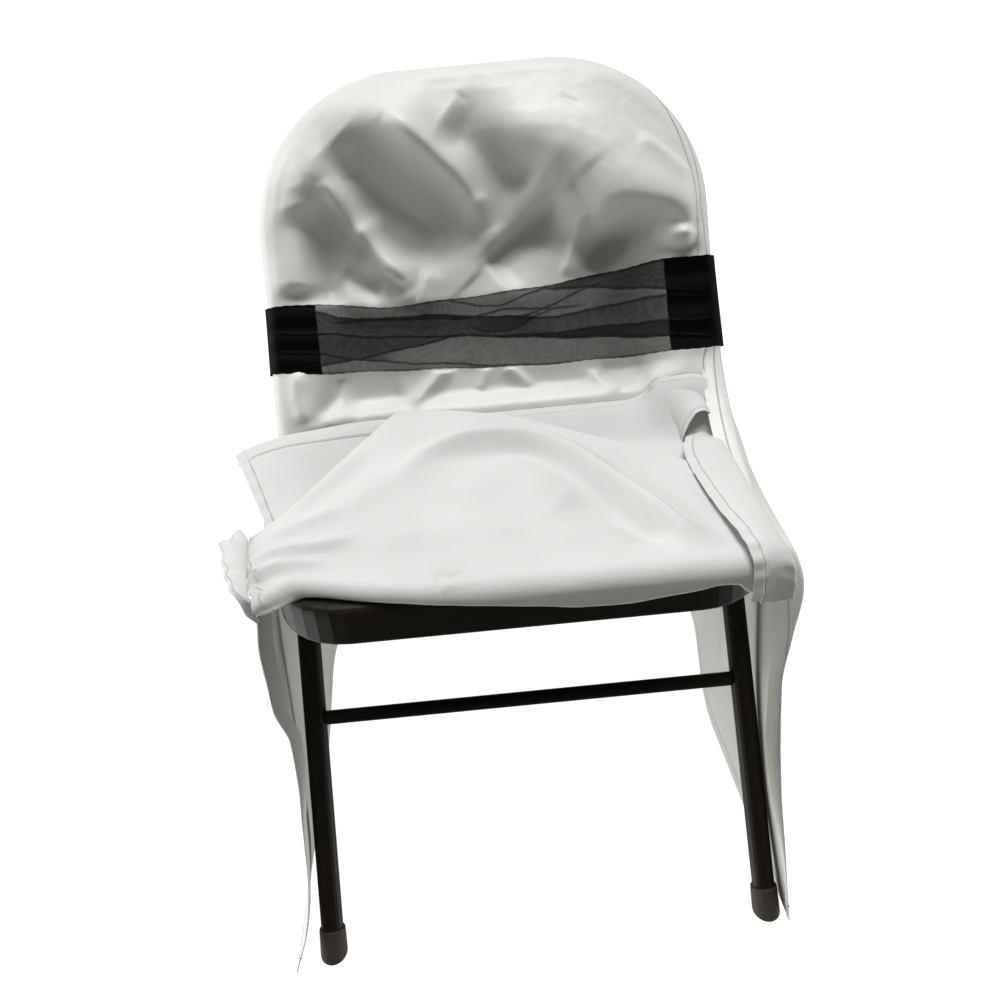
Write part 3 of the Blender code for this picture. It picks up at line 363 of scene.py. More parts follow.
def blend(first, second, share):
    """The first value where the share is 0, and the second where it is 1."""
    return first * (1.0 - share) + second * share


def read(table, key, column, at):
    """Smooth curve through a table's column, read at one or more values of its key."""
    keys, values = np.array(table[key]), np.array(table[column])
    steep = np.diff(values) / np.diff(keys)
    level = steep[1:] * steep[:-1] <= 0.0
    inner = 2 * steep[1:] * steep[:-1] / np.where(level, 1.0, steep[1:] + steep[:-1])
    slopes = np.concatenate((steep[:1], np.where(level, 0.0, inner), steep[-1:]))
    i = np.clip(np.searchsorted(keys, at) - 1, 0, len(keys) - 2)
    span = keys[i + 1] - keys[i]
    t = np.clip((at - keys[i]) / span, 0.0, 1.0)
    return ((2 * t**3 - 3 * t**2 + 1) * values[i] + (t**3 - 2 * t**2 + t) * span * slopes[i]
            + (3 * t**2 - 2 * t**3) * values[i + 1] + (t**3 - t**2) * span * slopes[i + 1])


def curves(table, key, columns, at):
    """Several columns of a table, named in one text, read at the same values of its key."""
    return [read(table, key, column, at) for column in columns.split()]


def sections(table, at):
    """Every column of a table of sections, read between them; the first section is at 0."""
    steps = {"step": range(len(next(iter(table.values())))), **table}
    return {column: read(steps, "step", column, at) for column in table}


def stations(table, count):
    """Every column of a table of sections, read at even steps from its first to its last."""
    last = len(next(iter(table.values()))) - 1
    return sections(table, np.linspace(0, last, count))


def folds(table, a, b):
    """Sum of ridges and troughs, each along one bent line, at places (a, b)."""
    a, b = np.broadcast_arrays(a, b)
    total = np.zeros(a.shape)
    for *line, width, under, height, crest in table:
        line = bend(np.array(line).reshape(-1, 2))
        lengths = np.hypot(*np.diff(line, axis=0).T)
        best, side, share = np.full(a.shape, 9.0), np.zeros(a.shape), np.zeros(a.shape)
        for (p, q), (r, s), length, before in zip(line, line[1:], lengths,
                                                  np.cumsum(lengths) - lengths):
            run, rise = r - p, s - q
            along = np.clip(((a - p) * run + (b - q) * rise) / length**2, 0.0, 1.0)
            da, db = a - p - along * run, b - q - along * rise
            off = np.hypot(da, db)
            nearer = off < best
            side = np.where(nearer, (run * db - rise * da) / length, side)
            share = np.where(nearer, before + along * length, share)
            best = np.minimum(off, best)
        share = share / lengths.sum()
        flip = 1.0 if line[-1][0] >= line[0][0] else -1.0
        upper = 0.5 + 0.5 * np.tanh(flip * side / (0.3 * width))
        across = best / (width * upper + under * (1.0 - upper))
        fade = window(-0.12, 1.12, share, 0.34)
        total += height * fade * np.exp(0.1 - (across**2 + 0.1**(2.0 / crest))**(crest / 2))
    return total


def bend(line, steps=5):
    """A smooth line through a few places."""
    if len(line) < 3:
        return line
    ends = np.concatenate((2 * line[:1] - line[1:2], line, 2 * line[-1:] - line[-2:-1]))
    t = np.linspace(0.0, 1.0, steps, endpoint=False)[:, None]
    parts = [0.5 * (2 * b + (c - a) * t + (2 * a - 5 * b + 4 * c - d) * t**2
                    + (3 * b - a - 3 * c + d) * t**3)
             for a, b, c, d in zip(ends, ends[1:], ends[2:], ends[3:])]
    return np.concatenate(parts + [line[-1:]])


def waves(a, b, size, seed):
    """Smooth uneven waves between about -1 and 1, with lumps of about the given size."""
    draw = np.random.default_rng(seed)
    total = np.zeros(np.broadcast(a, b).shape)
    for _ in range(9):
        turn, shift = draw.uniform(0.0, 2 * math.pi, 2)
        pitch = size * draw.uniform(1.4, 3.2)
        total += np.sin((a * math.cos(turn) + b * math.sin(turn)) * 2 * math.pi / pitch + shift)
    return total / 4.0


def respace(points, count, turn_weight=0.05):
    """Points evenly spaced along a line, closer together where it turns."""
    points = np.asarray(points, float)
    apart = np.linalg.norm(np.diff(points, axis=0), axis=1) > 1e-6
    points = points[np.concatenate(([True], apart))]
    steps = np.diff(points, axis=0)
    lengths = np.linalg.norm(steps, axis=1)
    units = steps / np.maximum(lengths, 1e-9)[:, None]
    turns = np.arccos(np.clip((units[1:] * units[:-1]).sum(axis=1), -1.0, 1.0))
    turns = np.concatenate(([0.0], turns)) + np.concatenate((turns, [0.0]))
    measure = np.concatenate(([0.0], np.cumsum(lengths + turn_weight * turns / 2)))
    at = np.linspace(0.0, measure[-1], count)
    return np.stack([np.interp(at, measure, points[:, k]) for k in range(3)], axis=1)


def smooth_rows(grid, times, strength=0.5, along=(0, 1)):
    """Relax a grid of places a little; its outer rows and columns stay where they are."""
    for _ in range(times):
        for axis in along:
            moved = (np.roll(grid, 1, axis) + np.roll(grid, -1, axis)) / 2 - grid
            keep = [slice(None)] * 3
            keep[axis] = slice(1, -1)
            grid[tuple(keep)] += strength * moved[tuple(keep)]
    return grid


def back_point(x, up, out):
    """A place given up the back's slope from the knee and out in front of the tubes."""
    x, up, out = np.broadcast_arrays(x, up, out)
    lean_y, lean_z = math.sin(BACK_LEAN), math.cos(BACK_LEAN)
    return np.stack((x, KNEE[1] + up * lean_y - out * lean_z,
                     KNEE[2] + up * lean_z + out * lean_y), axis=-1)


def normals(grid):
    """Unit normals of a grid of places."""
    across = np.gradient(grid, axis=1)
    down = np.gradient(grid, axis=0)
    found = np.cross(across, down)
    return found / np.maximum(np.linalg.norm(found, axis=2), 1e-9)[..., None]


def run_lengths(grid, axis):
    """Length of cloth from the first row or column to each place."""
    steps = np.linalg.norm(np.diff(grid, axis=axis), axis=2)
    start = np.zeros_like(np.take(steps, [0], axis=axis))
    return np.concatenate((start, np.cumsum(steps, axis=axis)), axis=axis)


def edge_reaches(grid):
    """Length of cloth between each place of a grid and each of its edges."""
    u, v = run_lengths(grid, 1), run_lengths(grid, 0)
    return {"left": u, "right": u[:, -1:] - u, "first": v, "last": v[-1:] - v}


# --- Meshes ---------------------------------------------------------------------------------

def add_object(name, data):
    """A new object in the scene."""
    piece = bpy.data.objects.new(name, data)
    bpy.context.scene.collection.objects.link(piece)
    return piece


def make_cloth(name, grids, thickness, material, hems=None, fields=None):
    """A closed cloth from grids of places, with its weave's UV map in metres, each place's
    distance from the nearest hemmed edge in hem widths, and any further named fields."""
    faces, places, weave, far = [], [], [], []
    start = 0
    for grid, widths in zip(grids, hems or [{}] * len(grids)):
        rows, columns = grid.shape[:2]
        number = start + np.arange(rows * columns).reshape(rows, columns)
        faces.append(np.stack((number[:-1, :-1], number[:-1, 1:], number[1:, 1:],
                               number[1:, :-1]), axis=-1).reshape(-1, 4))
        places.append(grid.reshape(-1, 3))
        reaches = edge_reaches(grid)
        u, v = reaches["left"], reaches["first"]
        weave.append(np.stack((u - u.mean(axis=1)[:, None], v), axis=-1).reshape(-1, 2))
        far.append(np.min([np.full(number.shape, NO_HEM)] + [
            reaches[edge] / width for edge, width in widths.items()], axis=0))
        start += rows * columns
    places, faces = np.concatenate(places) + PLACE, np.concatenate(faces)
    data = bpy.data.meshes.new(name)
    data.from_pydata(places.tolist(), [], faces.tolist())
    layer = data.uv_layers.new(name="Weave")
    layer.data.foreach_set("uv", np.concatenate(weave)[faces.reshape(-1)].ravel())
    for key, values in {"hem": far, **(fields or {})}.items():
        mark = data.attributes.new(key, "FLOAT", "POINT")
        mark.data.foreach_set("value", np.concatenate([part.ravel() for part in values]))
    bm = bmesh.new()
    bm.from_mesh(data)
    bmesh.ops.remove_doubles(bm, verts=bm.verts, dist=1e-6)
    bmesh.ops.recalc_face_normals(bm, faces=bm.faces)
    bm.to_mesh(data)
    bm.free()
    piece = add_object(name, data)
    data.materials.append(material)
    wall = piece.modifiers.new("Cloth thickness", "SOLIDIFY")
    wall.thickness = thickness
    wall.offset = 0.0
    return settle(piece)


def settle(piece):
    """Replace a piece by the plain mesh that its modifiers give."""
    view = bpy.context.evaluated_depsgraph_get()
    view.update()
    data = bpy.data.meshes.new_from_object(piece.evaluated_get(view))
    piece.modifiers.clear()
    old = piece.data
    piece.data = data
    bpy.data.meshes.remove(old)
    data.name = piece.name
    data.shade_smooth()
    data.set_sharp_from_angle(angle=math.radians(60.0))
    return piece


def add_node(tree, kind, settings=None, *inputs, **named):
    """A new node with its settings, and its inputs given in their order or by their names."""
    made = tree.nodes.new(kind)
    for key, value in (settings or {}).items():
        setattr(made, key, value)
    by_name = [(made.inputs[key.replace("_", " ")], value) for key, value in named.items()]
    for target, value in list(zip(made.inputs, inputs)) + by_name:
        give(tree, value, target)
    return made


def give(tree, value, target):
    """Give a node's input a link from a socket, or a plain value."""
    if isinstance(value, bpy.types.NodeSocket):
        tree.links.new(value, target)
    else:
        target.default_value = value


def stitch_tree(material):
    """Geometry Nodes that set a row of stitches along the lines of a mesh."""
    tree = bpy.data.node_groups.new("Row of stitches", "GeometryNodeTree")
    face = tree.interface
    face.new_socket("Geometry", in_out="INPUT", socket_type="NodeSocketGeometry")
    for name in STITCH:
        face.new_socket(name, in_out="INPUT", socket_type="NodeSocketFloat")
    face.new_socket("Geometry", in_out="OUTPUT", socket_type="NodeSocketGeometry")

    def node(kind, settings=None, **inputs):
        return add_node(tree, kind, settings, **inputs).outputs[0]

    sizes = tree.nodes.new("NodeGroupInput").outputs
    line = node("GeometryNodeMeshToCurve", Mesh=sizes["Geometry"])
    spaced = node("GeometryNodeResampleCurve", {"mode": "LENGTH"}, Curve=line,
                  Length=sizes["Pitch"])
    aimed = node("FunctionNodeAlignRotationToVector", {"axis": "Z"},
                 Vector=node("GeometryNodeInputTangent"))
    turned = node("FunctionNodeRotateRotation", {"rotation_space": "LOCAL"}, Rotation=aimed,
                  Rotate_By=node("ShaderNodeCombineXYZ", X=sizes["Turn"]))
    stitch = node("GeometryNodeMeshCylinder", Vertices=6, Radius=sizes["Radius"],
                  Depth=sizes["Length"])
    row = node("GeometryNodeInstanceOnPoints", Points=spaced, Instance=stitch, Rotation=turned)
    real = node("GeometryNodeRealizeInstances", Geometry=row)
    painted = node("GeometryNodeSetMaterial", Geometry=real, Material=material)
    tree.links.new(painted, tree.nodes.new("NodeGroupOutput").inputs[0])
    return tree


def stand_for(piece, node):
    """Let a piece take a solid's place."""
    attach(piece, "root")
    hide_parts(node)
    return piece


def stitches(name, lines, tree, node, slot_name, **sizes):
    """Rows of stitches along lines of places, for the cloth that stands for a node."""
    data = bpy.data.meshes.new(name)
    edges, start = [], 0
    for line in lines:
        edges += [(start + k, start + k + 1) for k in range(len(line) - 1)]
        start += len(line)
    data.from_pydata((np.concatenate(lines) + PLACE).tolist(), edges, [])
    piece = add_object(name, data)
    rows = piece.modifiers.new("Row of stitches", "NODES")
    rows.node_group = tree
    values = {**STITCH, **sizes}
    for item in tree.interface.items_tree:
        if item.in_out == "INPUT" and item.name in values:
            rows[item.identifier] = values[item.name]
    return stand_for(settle(piece), node)


def inside_edge(grid, edge, reach):
    """A line of places along a grid's edge, a given length of cloth inside it."""
    rows = grid if edge in ("left", "right") else grid.transpose(1, 0, 2)
    rows = rows[:, ::-1] if edge in ("right", "last") else rows
    runs = run_lengths(rows, 1)
    return np.array([[np.interp(reach, run, row[:, k]) for k in range(3)]
                     for run, row in zip(runs, rows)])


# --- Cover shapes ---------------------------------------------------------------------------

def hood_half(up):
    """Half width of the hood at a place up the back."""
    rise = np.clip(up - (HOOD_TOP - HOOD_R), 0.0, HOOD_R)
    flare = HOOD_FLARE * (1.0 - ease(0.05, 0.20, up))
    return HOOD_HALF - HOOD_R + np.sqrt(HOOD_R**2 - rise**2) + flare


def edge_distance(x, up):
    """How far a place lies inside the hood's outline."""
    across = hood_half(up) - np.abs(x)
    over = np.clip(np.abs(x) - (HOOD_HALF - HOOD_R), 0.0, HOOD_R)
    above = HOOD_TOP - HOOD_R + np.sqrt(HOOD_R**2 - over**2) - up
    across, above = np.maximum(across, 0.0), np.maximum(above, 0.0)
    return across * above / np.maximum(np.hypot(across, above), 1e-9)


def round_edge(distance):
    """0 on an edge to 1 one wrap inside it, along a quarter of an ellipse."""
    return np.sqrt(1.0 - (1.0 - np.clip(distance / WRAP, 0.0, 1.0))**2)


def right_seam_inset(up):
    """The right side seam lies on the front of the tube, and runs out over the top corner."""
    return 0.0135 * (1.0 - ease(0.270, 0.375, up)) + 0.0070 * (1.0 - ease(0.080, 0.110, up))


def wrap_steps(reach, start=0.0, steps=12):
    """Distances inside the hood's edge, close together where the cloth turns round its tube."""
    return [start + (reach - start) * (1.0 - math.cos(a))
            for a in np.linspace(0, math.pi / 2, steps)]


def hood_levels(low_rows=104, top_rows=44):
    """Fractions from the seat seam, 0, to the top seam, 1, close together round the top tube."""
    low = SEAT_SEAM["up"][4]
    over = [HOOD_TOP - e for e in wrap_steps(WRAP, steps=14)[::-1]]
    levels = np.concatenate((np.linspace(low, HOOD_TOP - HOOD_R, low_rows)[:-1],
                             np.linspace(HOOD_TOP - HOOD_R, over[0], top_rows)[:-1], over))
    return (levels - low) / (HOOD_TOP - low)


def hood_ends(v):
    """How far up the back the hood's left and right sides are, and its half widths there."""
    ups = [blend(SEAT_SEAM["up"][k], HOOD_TOP, v) for k in (0, -1)]
    return (*ups, *map(hood_half, ups))


def across_hood(half_left, half_right, middle, inset=0.0):
    """Places across the hood, close together where the cloth turns round its side tubes."""
    wrap = min(WRAP, half_left * WRAP_SHARE)
    left = [-half_left + e for e in wrap_steps(wrap)]
    right = [half_right - e for e in wrap_steps(max(wrap, inset + 0.006), inset)[::-1]]
    return np.concatenate((left[:-1], np.linspace(left[-1], right[0], middle), right[1:]))


def front_panel_out(x, up):
    """How far the front panel stands in front of the tubes' centre plane."""
    inside = edge_distance(x, up)
    side, top, corner = curves(RIM, "in", "side top corner", inside)
    lip = blend(side, top, ease(0.225, 0.335, up))
    lip = blend(lip, corner, ease(0.230, 0.370, up + x) * ease(0.196, 0.232, up))
    sash_low, sash_top = curves(SASH_EDGES, "x", "low top", x)
    lip = lip * ease(0.005, 0.022, up - sash_top)
    held = window(sash_low - 0.006, sash_top + 0.006, up, 0.008)
    creases = folds(HOOD_FOLDS, x, up) + 0.0007 * waves(x, up, 0.030, 3)
    creases = np.minimum(creases, 0.0006 + 0.03 * (1.0 - held))
    middle = read(MIDDLE_SLACK, "up", "out", up)
    slack = blend(HUG, middle, ease(0.030, 0.080, inside))
    out = round_edge(inside) * (slack + lip + creases * ease(0.004, 0.024, inside))
    rest = REST_BOW * (0.45 * ((up - REST_FOOT) / (REST_TOP - REST_FOOT))**2 - 1.0) + REST_CLEAR
    behind = ease(REST_FOOT - 0.02, REST_FOOT, up) * ease(-REST_TOP - 0.01, -REST_TOP, -up)
    over = REST_SOFT * np.log1p(np.exp((rest - out) / REST_SOFT))
    return out + over * behind * ease(-0.19, -0.17, -np.abs(x))


def seamed_out(x, up, v):
    """The front panel's depth, led over to the seat seam's at its lower end, where v is 0."""
    at_seam = read(SEAT_SEAM, "x", "out", x) * round_edge(edge_distance(x, up))
    return blend(at_seam, front_panel_out(x, up), ease(0.0, 0.06, v))


def front_panel_grid(middle=150):
    """The hood's front from the seat seam up, in front of its tubes and round their edges."""
    rows = []
    for v in hood_levels():
        _, up_right, half_left, half_right = hood_ends(v)
        inset = right_seam_inset(up_right)
        inset = inset + SEAM_SHIFT * ease(0.0, 0.003, inset)
        x = across_hood(half_left, half_right, middle, inset)
        up = blend(read(SEAT_SEAM, "x", "up", x), HOOD_TOP, v)
        rows.append(back_point(x, up, seamed_out(x, up, v) + SEAM_SHIFT))
    return np.array(rows)


def rear_out(x, up, depth):
    """How far the rear panel stands behind the tubes' centre plane, given its depth there."""
    inside = edge_distance(x, up)
    return HUG * round_edge(inside) + (depth - HUG) * ease(0.012, 0.070, inside)


def half_ring(square, steps=400):
    """Half of a squared oval from the left edge round behind to the right edge."""
    angles = np.linspace(0.0, math.pi, steps)
    across = -np.sign(np.cos(angles)) * np.abs(np.cos(angles))**(2.0 / square)
    return across, np.abs(np.sin(angles))**(2.0 / square)


def hood_back_row(v, columns):
    """One section of the rear panel behind the hood and round the tubes to both side seams."""
    up_left, up_right, half_left, half_right = hood_ends(v)
    x = across_hood(half_left, half_right, 120)
    up = blend(up_left, up_right, (x + half_left) / (half_left + half_right))
    up = up + read(HOOD_BACK, "v", "lift", v) * ease(0.0, 0.060, edge_distance(x, up))
    depth = read(HOOD_BACK, "up", "depth", up) + 0.0012 * waves(x, up, 0.045, 8)
    back = back_point(x, up, -rear_out(x, up, depth) - SEAM_SHIFT)
    reach = max(right_seam_inset(up_right) - SEAM_SHIFT, 0.0)
    overlap = 0.0006 + 0.0034 * ease(0.0, 0.006, reach)
    x = half_right - (reach + overlap) * np.linspace(0.08, 1.0, STRIP_COLUMNS)
    under = ease(reach - 0.001, reach + 0.0015, half_right - x) * ease(0.0, 0.004, reach)
    out = seamed_out(x, up_right, v) - SEAM_SHIFT - 0.0013 * under
    return np.concatenate((respace(back, columns - STRIP_COLUMNS), back_point(x, up_right, out)))


def hanging_row(t):
    """One section of the rear panel below the seat seam, its front hems turned inwards."""
    left, right, rear = (sections(table, t) for table in (LEFT_WALL, RIGHT_WALL, REAR_WALL))
    across, behind = half_ring(rear["square"])
    share = (across + 1.0) / 2
    y, z = (blend(blend(left[c], right[c], share), rear[c], behind) for c in "yz")
    on_left = across < 0.0
    width = np.where(on_left, side_width(left, rear, y), side_width(right, rear, y))
    uneven = np.where(on_left, folds(LEFT_FOLDS, y, z), folds(RIGHT_FOLDS, y, z))
    x = across * width + ease(-0.40, -0.30, -y) * uneven
    loose = HEM_RIPPLE * (1.0 - ease(0.04, 0.36, rear["z"])) * ease(0.32, 0.42, y)
    ripple = loose * (1.0 + np.cos(2 * math.pi * RIPPLES * share)) / 2
    turned = np.linspace(1.0, 0.08, 7)
    hems = [np.stack((x[end] + inwards * (0.001 + wall["turn"]) * turned,
                      y[end] + 0.004 * turned**2 - 0.001, z[end] + 0 * turned), axis=1)
            for wall, inwards, end in ((left, 1.0, 0), (right, -1.0, -1))]
    return np.concatenate((hems[0], np.stack((x, y + ripple, z), axis=1), hems[1][::-1]))


def side_width(wall, rear, y):
    """Half width of a hanging section at a place behind the seat's front edge."""
    beside = wall["x"] + (wall["leg"] - wall["x"]) * ease(wall["y"], wall["y"] + 0.035, y)
    middle = beside + (wall["mid"] - wall["leg"]) * ease(0.06, 0.24, y)
    end = -rear["left"] if wall["x"] < 0.0 else rear["right"]
    return np.abs(middle + (end - wall["mid"]) * ease(0.26, rear["y"], y))


def round_tubes(grid):
    """Lead the rear panel round the chair's side tubes wherever it would cut into them."""
    knee = np.array(KNEE)
    top = knee + TUBE_BEND * np.array((0.0, math.sin(BACK_LEAN), math.cos(BACK_LEAN)))
    top[0] = TUBE_BEND_X
    for side in (-1.0, 1.0):
        mirror = np.array((side, 1.0, 1.0))
        inner = np.array(TUBE_INNER) * mirror
        for low, high in ((LEG_FOOT, knee), (knee, top)):
            low, high = low * mirror, high * mirror
            run = high - low
            share = np.clip((grid - low) @ run / (run @ run), 0.0, 1.0)
            centre = low + share[..., None] * run
            ray = grid - centre - inner
            ray /= np.linalg.norm(ray, axis=2, keepdims=True)
            dot = ray @ inner
            far = np.sqrt(dot**2 - inner @ inner + TUBE_REACH**2) - dot
            near = np.linalg.norm(grid - centre, axis=2) < TUBE_REACH
            grid[near] = (centre + inner + far[..., None] * ray)[near]
    return grid


def rear_panel_grid(columns=234, hanging=110):
    """The rear panel from the top seam down behind the hood, and round the chair to the floor."""
    rows = [hood_back_row(v, columns) for v in hood_levels(60, 30)[::-1]]
    seam = len(rows)
    last = len(REAR_WALL["z"]) - 1
    rows += [respace(hanging_row(t), columns) for t in np.linspace(0, last, hanging)]
    grid = np.array(rows)
    smooth_rows(grid[seam - 8:seam + 14], 30, along=(0,))
    round_tubes(grid)
    smooth_rows(grid[seam - 10:seam + 16], 4)
    return round_tubes(grid)


def pucker(grid, edge, reach, size, pitch, seed):
    """A grid rippled near one edge, as the cloth beside a row of stitches is."""
    reaches = edge_reaches(grid)
    along = reaches["first" if edge in ("left", "right") else "left"]
    near = 1.0 - ease(reach * 0.8, reach * 1.7, reaches[edge])
    return grid + normals(grid) * (size * near * waves(along, 0 * along, pitch, seed))[..., None]


def turned_back_height(x, y):
    """Height of the folded-back skirt's top layer."""
    edge_y, edge_z = curves(PLEAT_EDGE, "x", "y z", x)
    uneven = folds(SKIRT_FOLDS, x, y) + 0.0007 * waves(x, y, 0.045, 5)
    level = blend(TURNED_Z, edge_z, ease(0.0, edge_y, y))
    return level + uneven * window(-0.01, edge_y, y, 0.03)


def seat_layer(x, front_y):
    """The cover lying on the seat, from its seam forward to the roll."""
    seam = back_point(x, *curves(SEAT_SEAM, "x", "up out", x))
    points = []
    for t in np.linspace(0.0, 1.0, 41):
        y = blend(seam[1] - 0.0012, front_y, t)
        points.append((x, y, blend(seam[2], SEAT_LAYER_Z, ease(0.0, 0.055, seam[1] - y))))
    return points


def roll(x, shoulder_z):
    """The cover's turn at the seat's front edge, up to the shoulder of the top layer."""
    y, z = np.array(curves(ROLL_EDGE, "x", "y z", x)) + ROLL_R * np.array(LOW_SIDE)
    start = math.asin(min(max((z - SEAT_LAYER_Z) / ROLL_R, 0.0), 1.0))
    lead = min(max(z, SEAT_LAYER_Z - 0.0012), SEAT_LAYER_Z)
    points = [(x, y + ROLL_R + 0.0040, SEAT_LAYER_Z), (x, y + ROLL_R + 0.0009, lead)]
    points += [(x, y + ROLL_R * math.cos(a), z - ROLL_R * math.sin(a))
               for a in np.linspace(start, math.pi, 12)]
    radius = min(SHOULDER_R, max(shoulder_z - z, 0.006))
    low = max(shoulder_z - radius, z)
    return points + [(x, y - ROLL_R + radius * (1.0 - math.cos(a)), low + radius * math.sin(a))
                     for a in np.linspace(0.0, math.pi / 2, 13)[1:]]


def skirt_row(u):
    """One strip of the seat and skirt, from the seat seam forward, back, and under itself."""
    x = blend(SEAT_LEFT, SEAT_RIGHT, u)
    turn = roll(x, TURNED_Z - 0.002)
    aside = (SKIRT_LEFT["x"][0] - SEAT_LEFT) * (1.0 - u)
    turn = [(px + aside * float(ease(0.1, 0.6, k / len(turn))), py, pz)
            for k, (px, py, pz) in enumerate(turn)]
    points = seat_layer(x, turn[0][1] + 0.006) + turn
    start_y, start_z = turn[-1][1:]
    edge_x = blend(*PLEAT_ENDS, u)
    fold_y = read(PLEAT_EDGE, "x", "y", edge_x) - PLEAT_SHORT
    t = np.linspace(0.0, 1.0, 90)[1:]
    y = blend(start_y, fold_y, t)
    slant = (edge_x - x) * ease(0.0, 0.35, t)
    wide = x + slant * u + (read(SKIRT_LEFT, "y", "x", y) - SEAT_LEFT) * (1.0 - u)
    z = turned_back_height(wide, np.maximum(y, 0.0))
    points += list(zip(wide, y, blend(start_z, z, ease(0.0, 0.25, t))))
    top = points[-1][2]
    points += [(edge_x, fold_y + PLEAT_R * math.sin(a), top - PLEAT_R * (1.0 - math.cos(a)))
               for a in np.linspace(0.1, 1.0, 8) * math.pi]
    under_x = edge_x + 0.024 * (1.0 - ease(0.0, 0.20, u))
    tuck_y = fold_y + PLEAT_SHORT - 0.014 - 0.044 * ease(0.05, 0.5, u)
    points.append((under_x, tuck_y, UNDER_Z + 2 * TUCK_R))
    points.append((under_x, tuck_y - TUCK_R, UNDER_Z + TUCK_R))
    hem_x = blend(*HEM_ENDS, u)
    hem_y, hem_z = curves(SKIRT_HEM, "x", "y z", hem_x)
    for t in np.linspace(0.0, 1.0, 36):
        points.append((blend(under_x, hem_x, t), blend(tuck_y, hem_y, t),
                       blend(UNDER_Z, hem_z, ease(0.0, 1.0, t))))
    return points


def band_grid(columns=44):
    """The seat's right margin, folded over and hanging down at the front."""
    band = stations(BAND, 120)
    top = np.stack((0 * band["y"], band["y"], band["z"]), axis=1)
    run = np.gradient(top, axis=0)
    outward = np.stack((0 * run[:, 0], run[:, 2], -run[:, 1]), axis=1)
    outward /= np.linalg.norm(outward, axis=1)[:, None]
    rows = []
    for place, out, fold, hem, deep in zip(top, outward, band["fold"], band["hem"],
                                           band["deep"]):
        shape = ((fold - 0.0030, -deep), (fold - 0.0015, 0.0008 - deep), (fold, -0.7 * deep),
                 (fold, -0.3 * deep), (fold - 0.0018, -0.07 * deep), (fold - 0.0070, 0.0),
                 ((fold + hem) / 2, 0.0012), (hem + 0.0080, 0.0004), (hem + 0.0074, 0.0),
                 (hem, -0.0012))
        rows.append(respace([place + out * h + np.array((x, 0.0, 0.0)) for x, h in shape],
                            columns, 0.004))
    grid = pucker(np.array(rows), "right", 0.008, 0.0011, 0.006, 21)
    return pucker(grid, "left", 0.016, 0.0005, 0.008, 22)


def arch_grid(columns=40):
    """The open rear end of that margin."""
    turn = np.linspace(0.0, math.pi, columns)
    across = (1.0 - np.cos(turn)) / 2
    y, left, right, base, rise = (column[:, None] for column in stations(ARCH, 22).values())
    grid = np.stack((blend(left, right, across) + 0.0015 * np.sin(2 * turn),
                     y + 0.003 * np.sin(turn) + 0.004 * across,
                     base + 0.004 * across + rise * np.sin(turn)**0.75), axis=2)
    return pucker(grid, "first", 0.006, 0.0007, 0.005, 23)


def curl_grid(columns=30):
    """The curled strip of hem at the skirt's left end."""
    edges = stations(CURL, 46)
    inner, outer = (np.stack([edges[side + axis] for axis in "xyz"], axis=1)
                    for side in ("inner_", "outer_"))
    centre, half = (inner + outer) / 2, (inner - outer) / 2
    bulge = np.cross(np.gradient(centre, axis=0), half)
    bulge /= np.linalg.norm(bulge, axis=1)[:, None]
    size = CURL_BULGE * np.linalg.norm(half, axis=1)
    bulge *= (np.where(bulge[:, 2] < 0.0, -1.0, 1.0) * size)[:, None]
    turn = np.radians(np.linspace(-20.0, 215.0, columns))[:, None]
    grid = np.array([c + h * np.cos(turn) + b * np.sin(turn)
                     for c, h, b in zip(centre, half, bulge)])
    return pucker(grid, "right", 0.020, 0.0011, 0.007, 24)


def seat_skirt_grids(columns=210):
    """The seat and skirt, its folded-over right margin with the open end, and the curled hem."""
    rows = [respace(skirt_row(u), columns, 0.040) for u in np.linspace(0.0, 1.0, 200)]
    sheet = pucker(np.array(rows), "first", 0.010, 0.0014, 0.007, 25)
    return sheet, band_grid(), arch_grid(), curl_grid()


def sash_fold(name, x, share):
    """Distance above one of the sash's folds, as a share of its width."""
    if name == "top":
        return share - 1.2
    xs, shares = SASH_FOLDS[name]
    wobble = 0.008 * np.sin(x * 97.0 + len(name)) + 0.003 * np.sin(x * 331.0 + 2 * len(name))
    return share - np.interp(x, xs, shares) - wobble


def sash_layers(x, share):
    """Layers of organza over each other, and how much of a dark fold line there is."""
    layers = np.ones(np.broadcast(x, share).shape)
    for low, high, start, end, count in SASH_LAYERS:
        above = ease(-0.012, 0.012, sash_fold(low, x, share))
        below = ease(-0.012, 0.012, -sash_fold(high, x, share))
        layers = layers + count * above * below * window(start, end, x, 0.03)
    lines = np.zeros(layers.shape)
    for name, (xs, _) in SASH_FOLDS.items():
        strength = 1.3 if name == "main" else 0.8
        near = np.exp(-(sash_fold(name, x, share) / 0.010)**2)
        fade = window(xs[0] - 0.001, xs[-1] + 0.001, x, 0.021)
        lines = np.maximum(lines, strength * near * fade)
    hem = np.maximum(np.exp(-(share / 0.016)**2), np.exp(-((share - 1.0) / 0.016)**2))
    return layers, np.maximum(lines, 0.6 * hem)


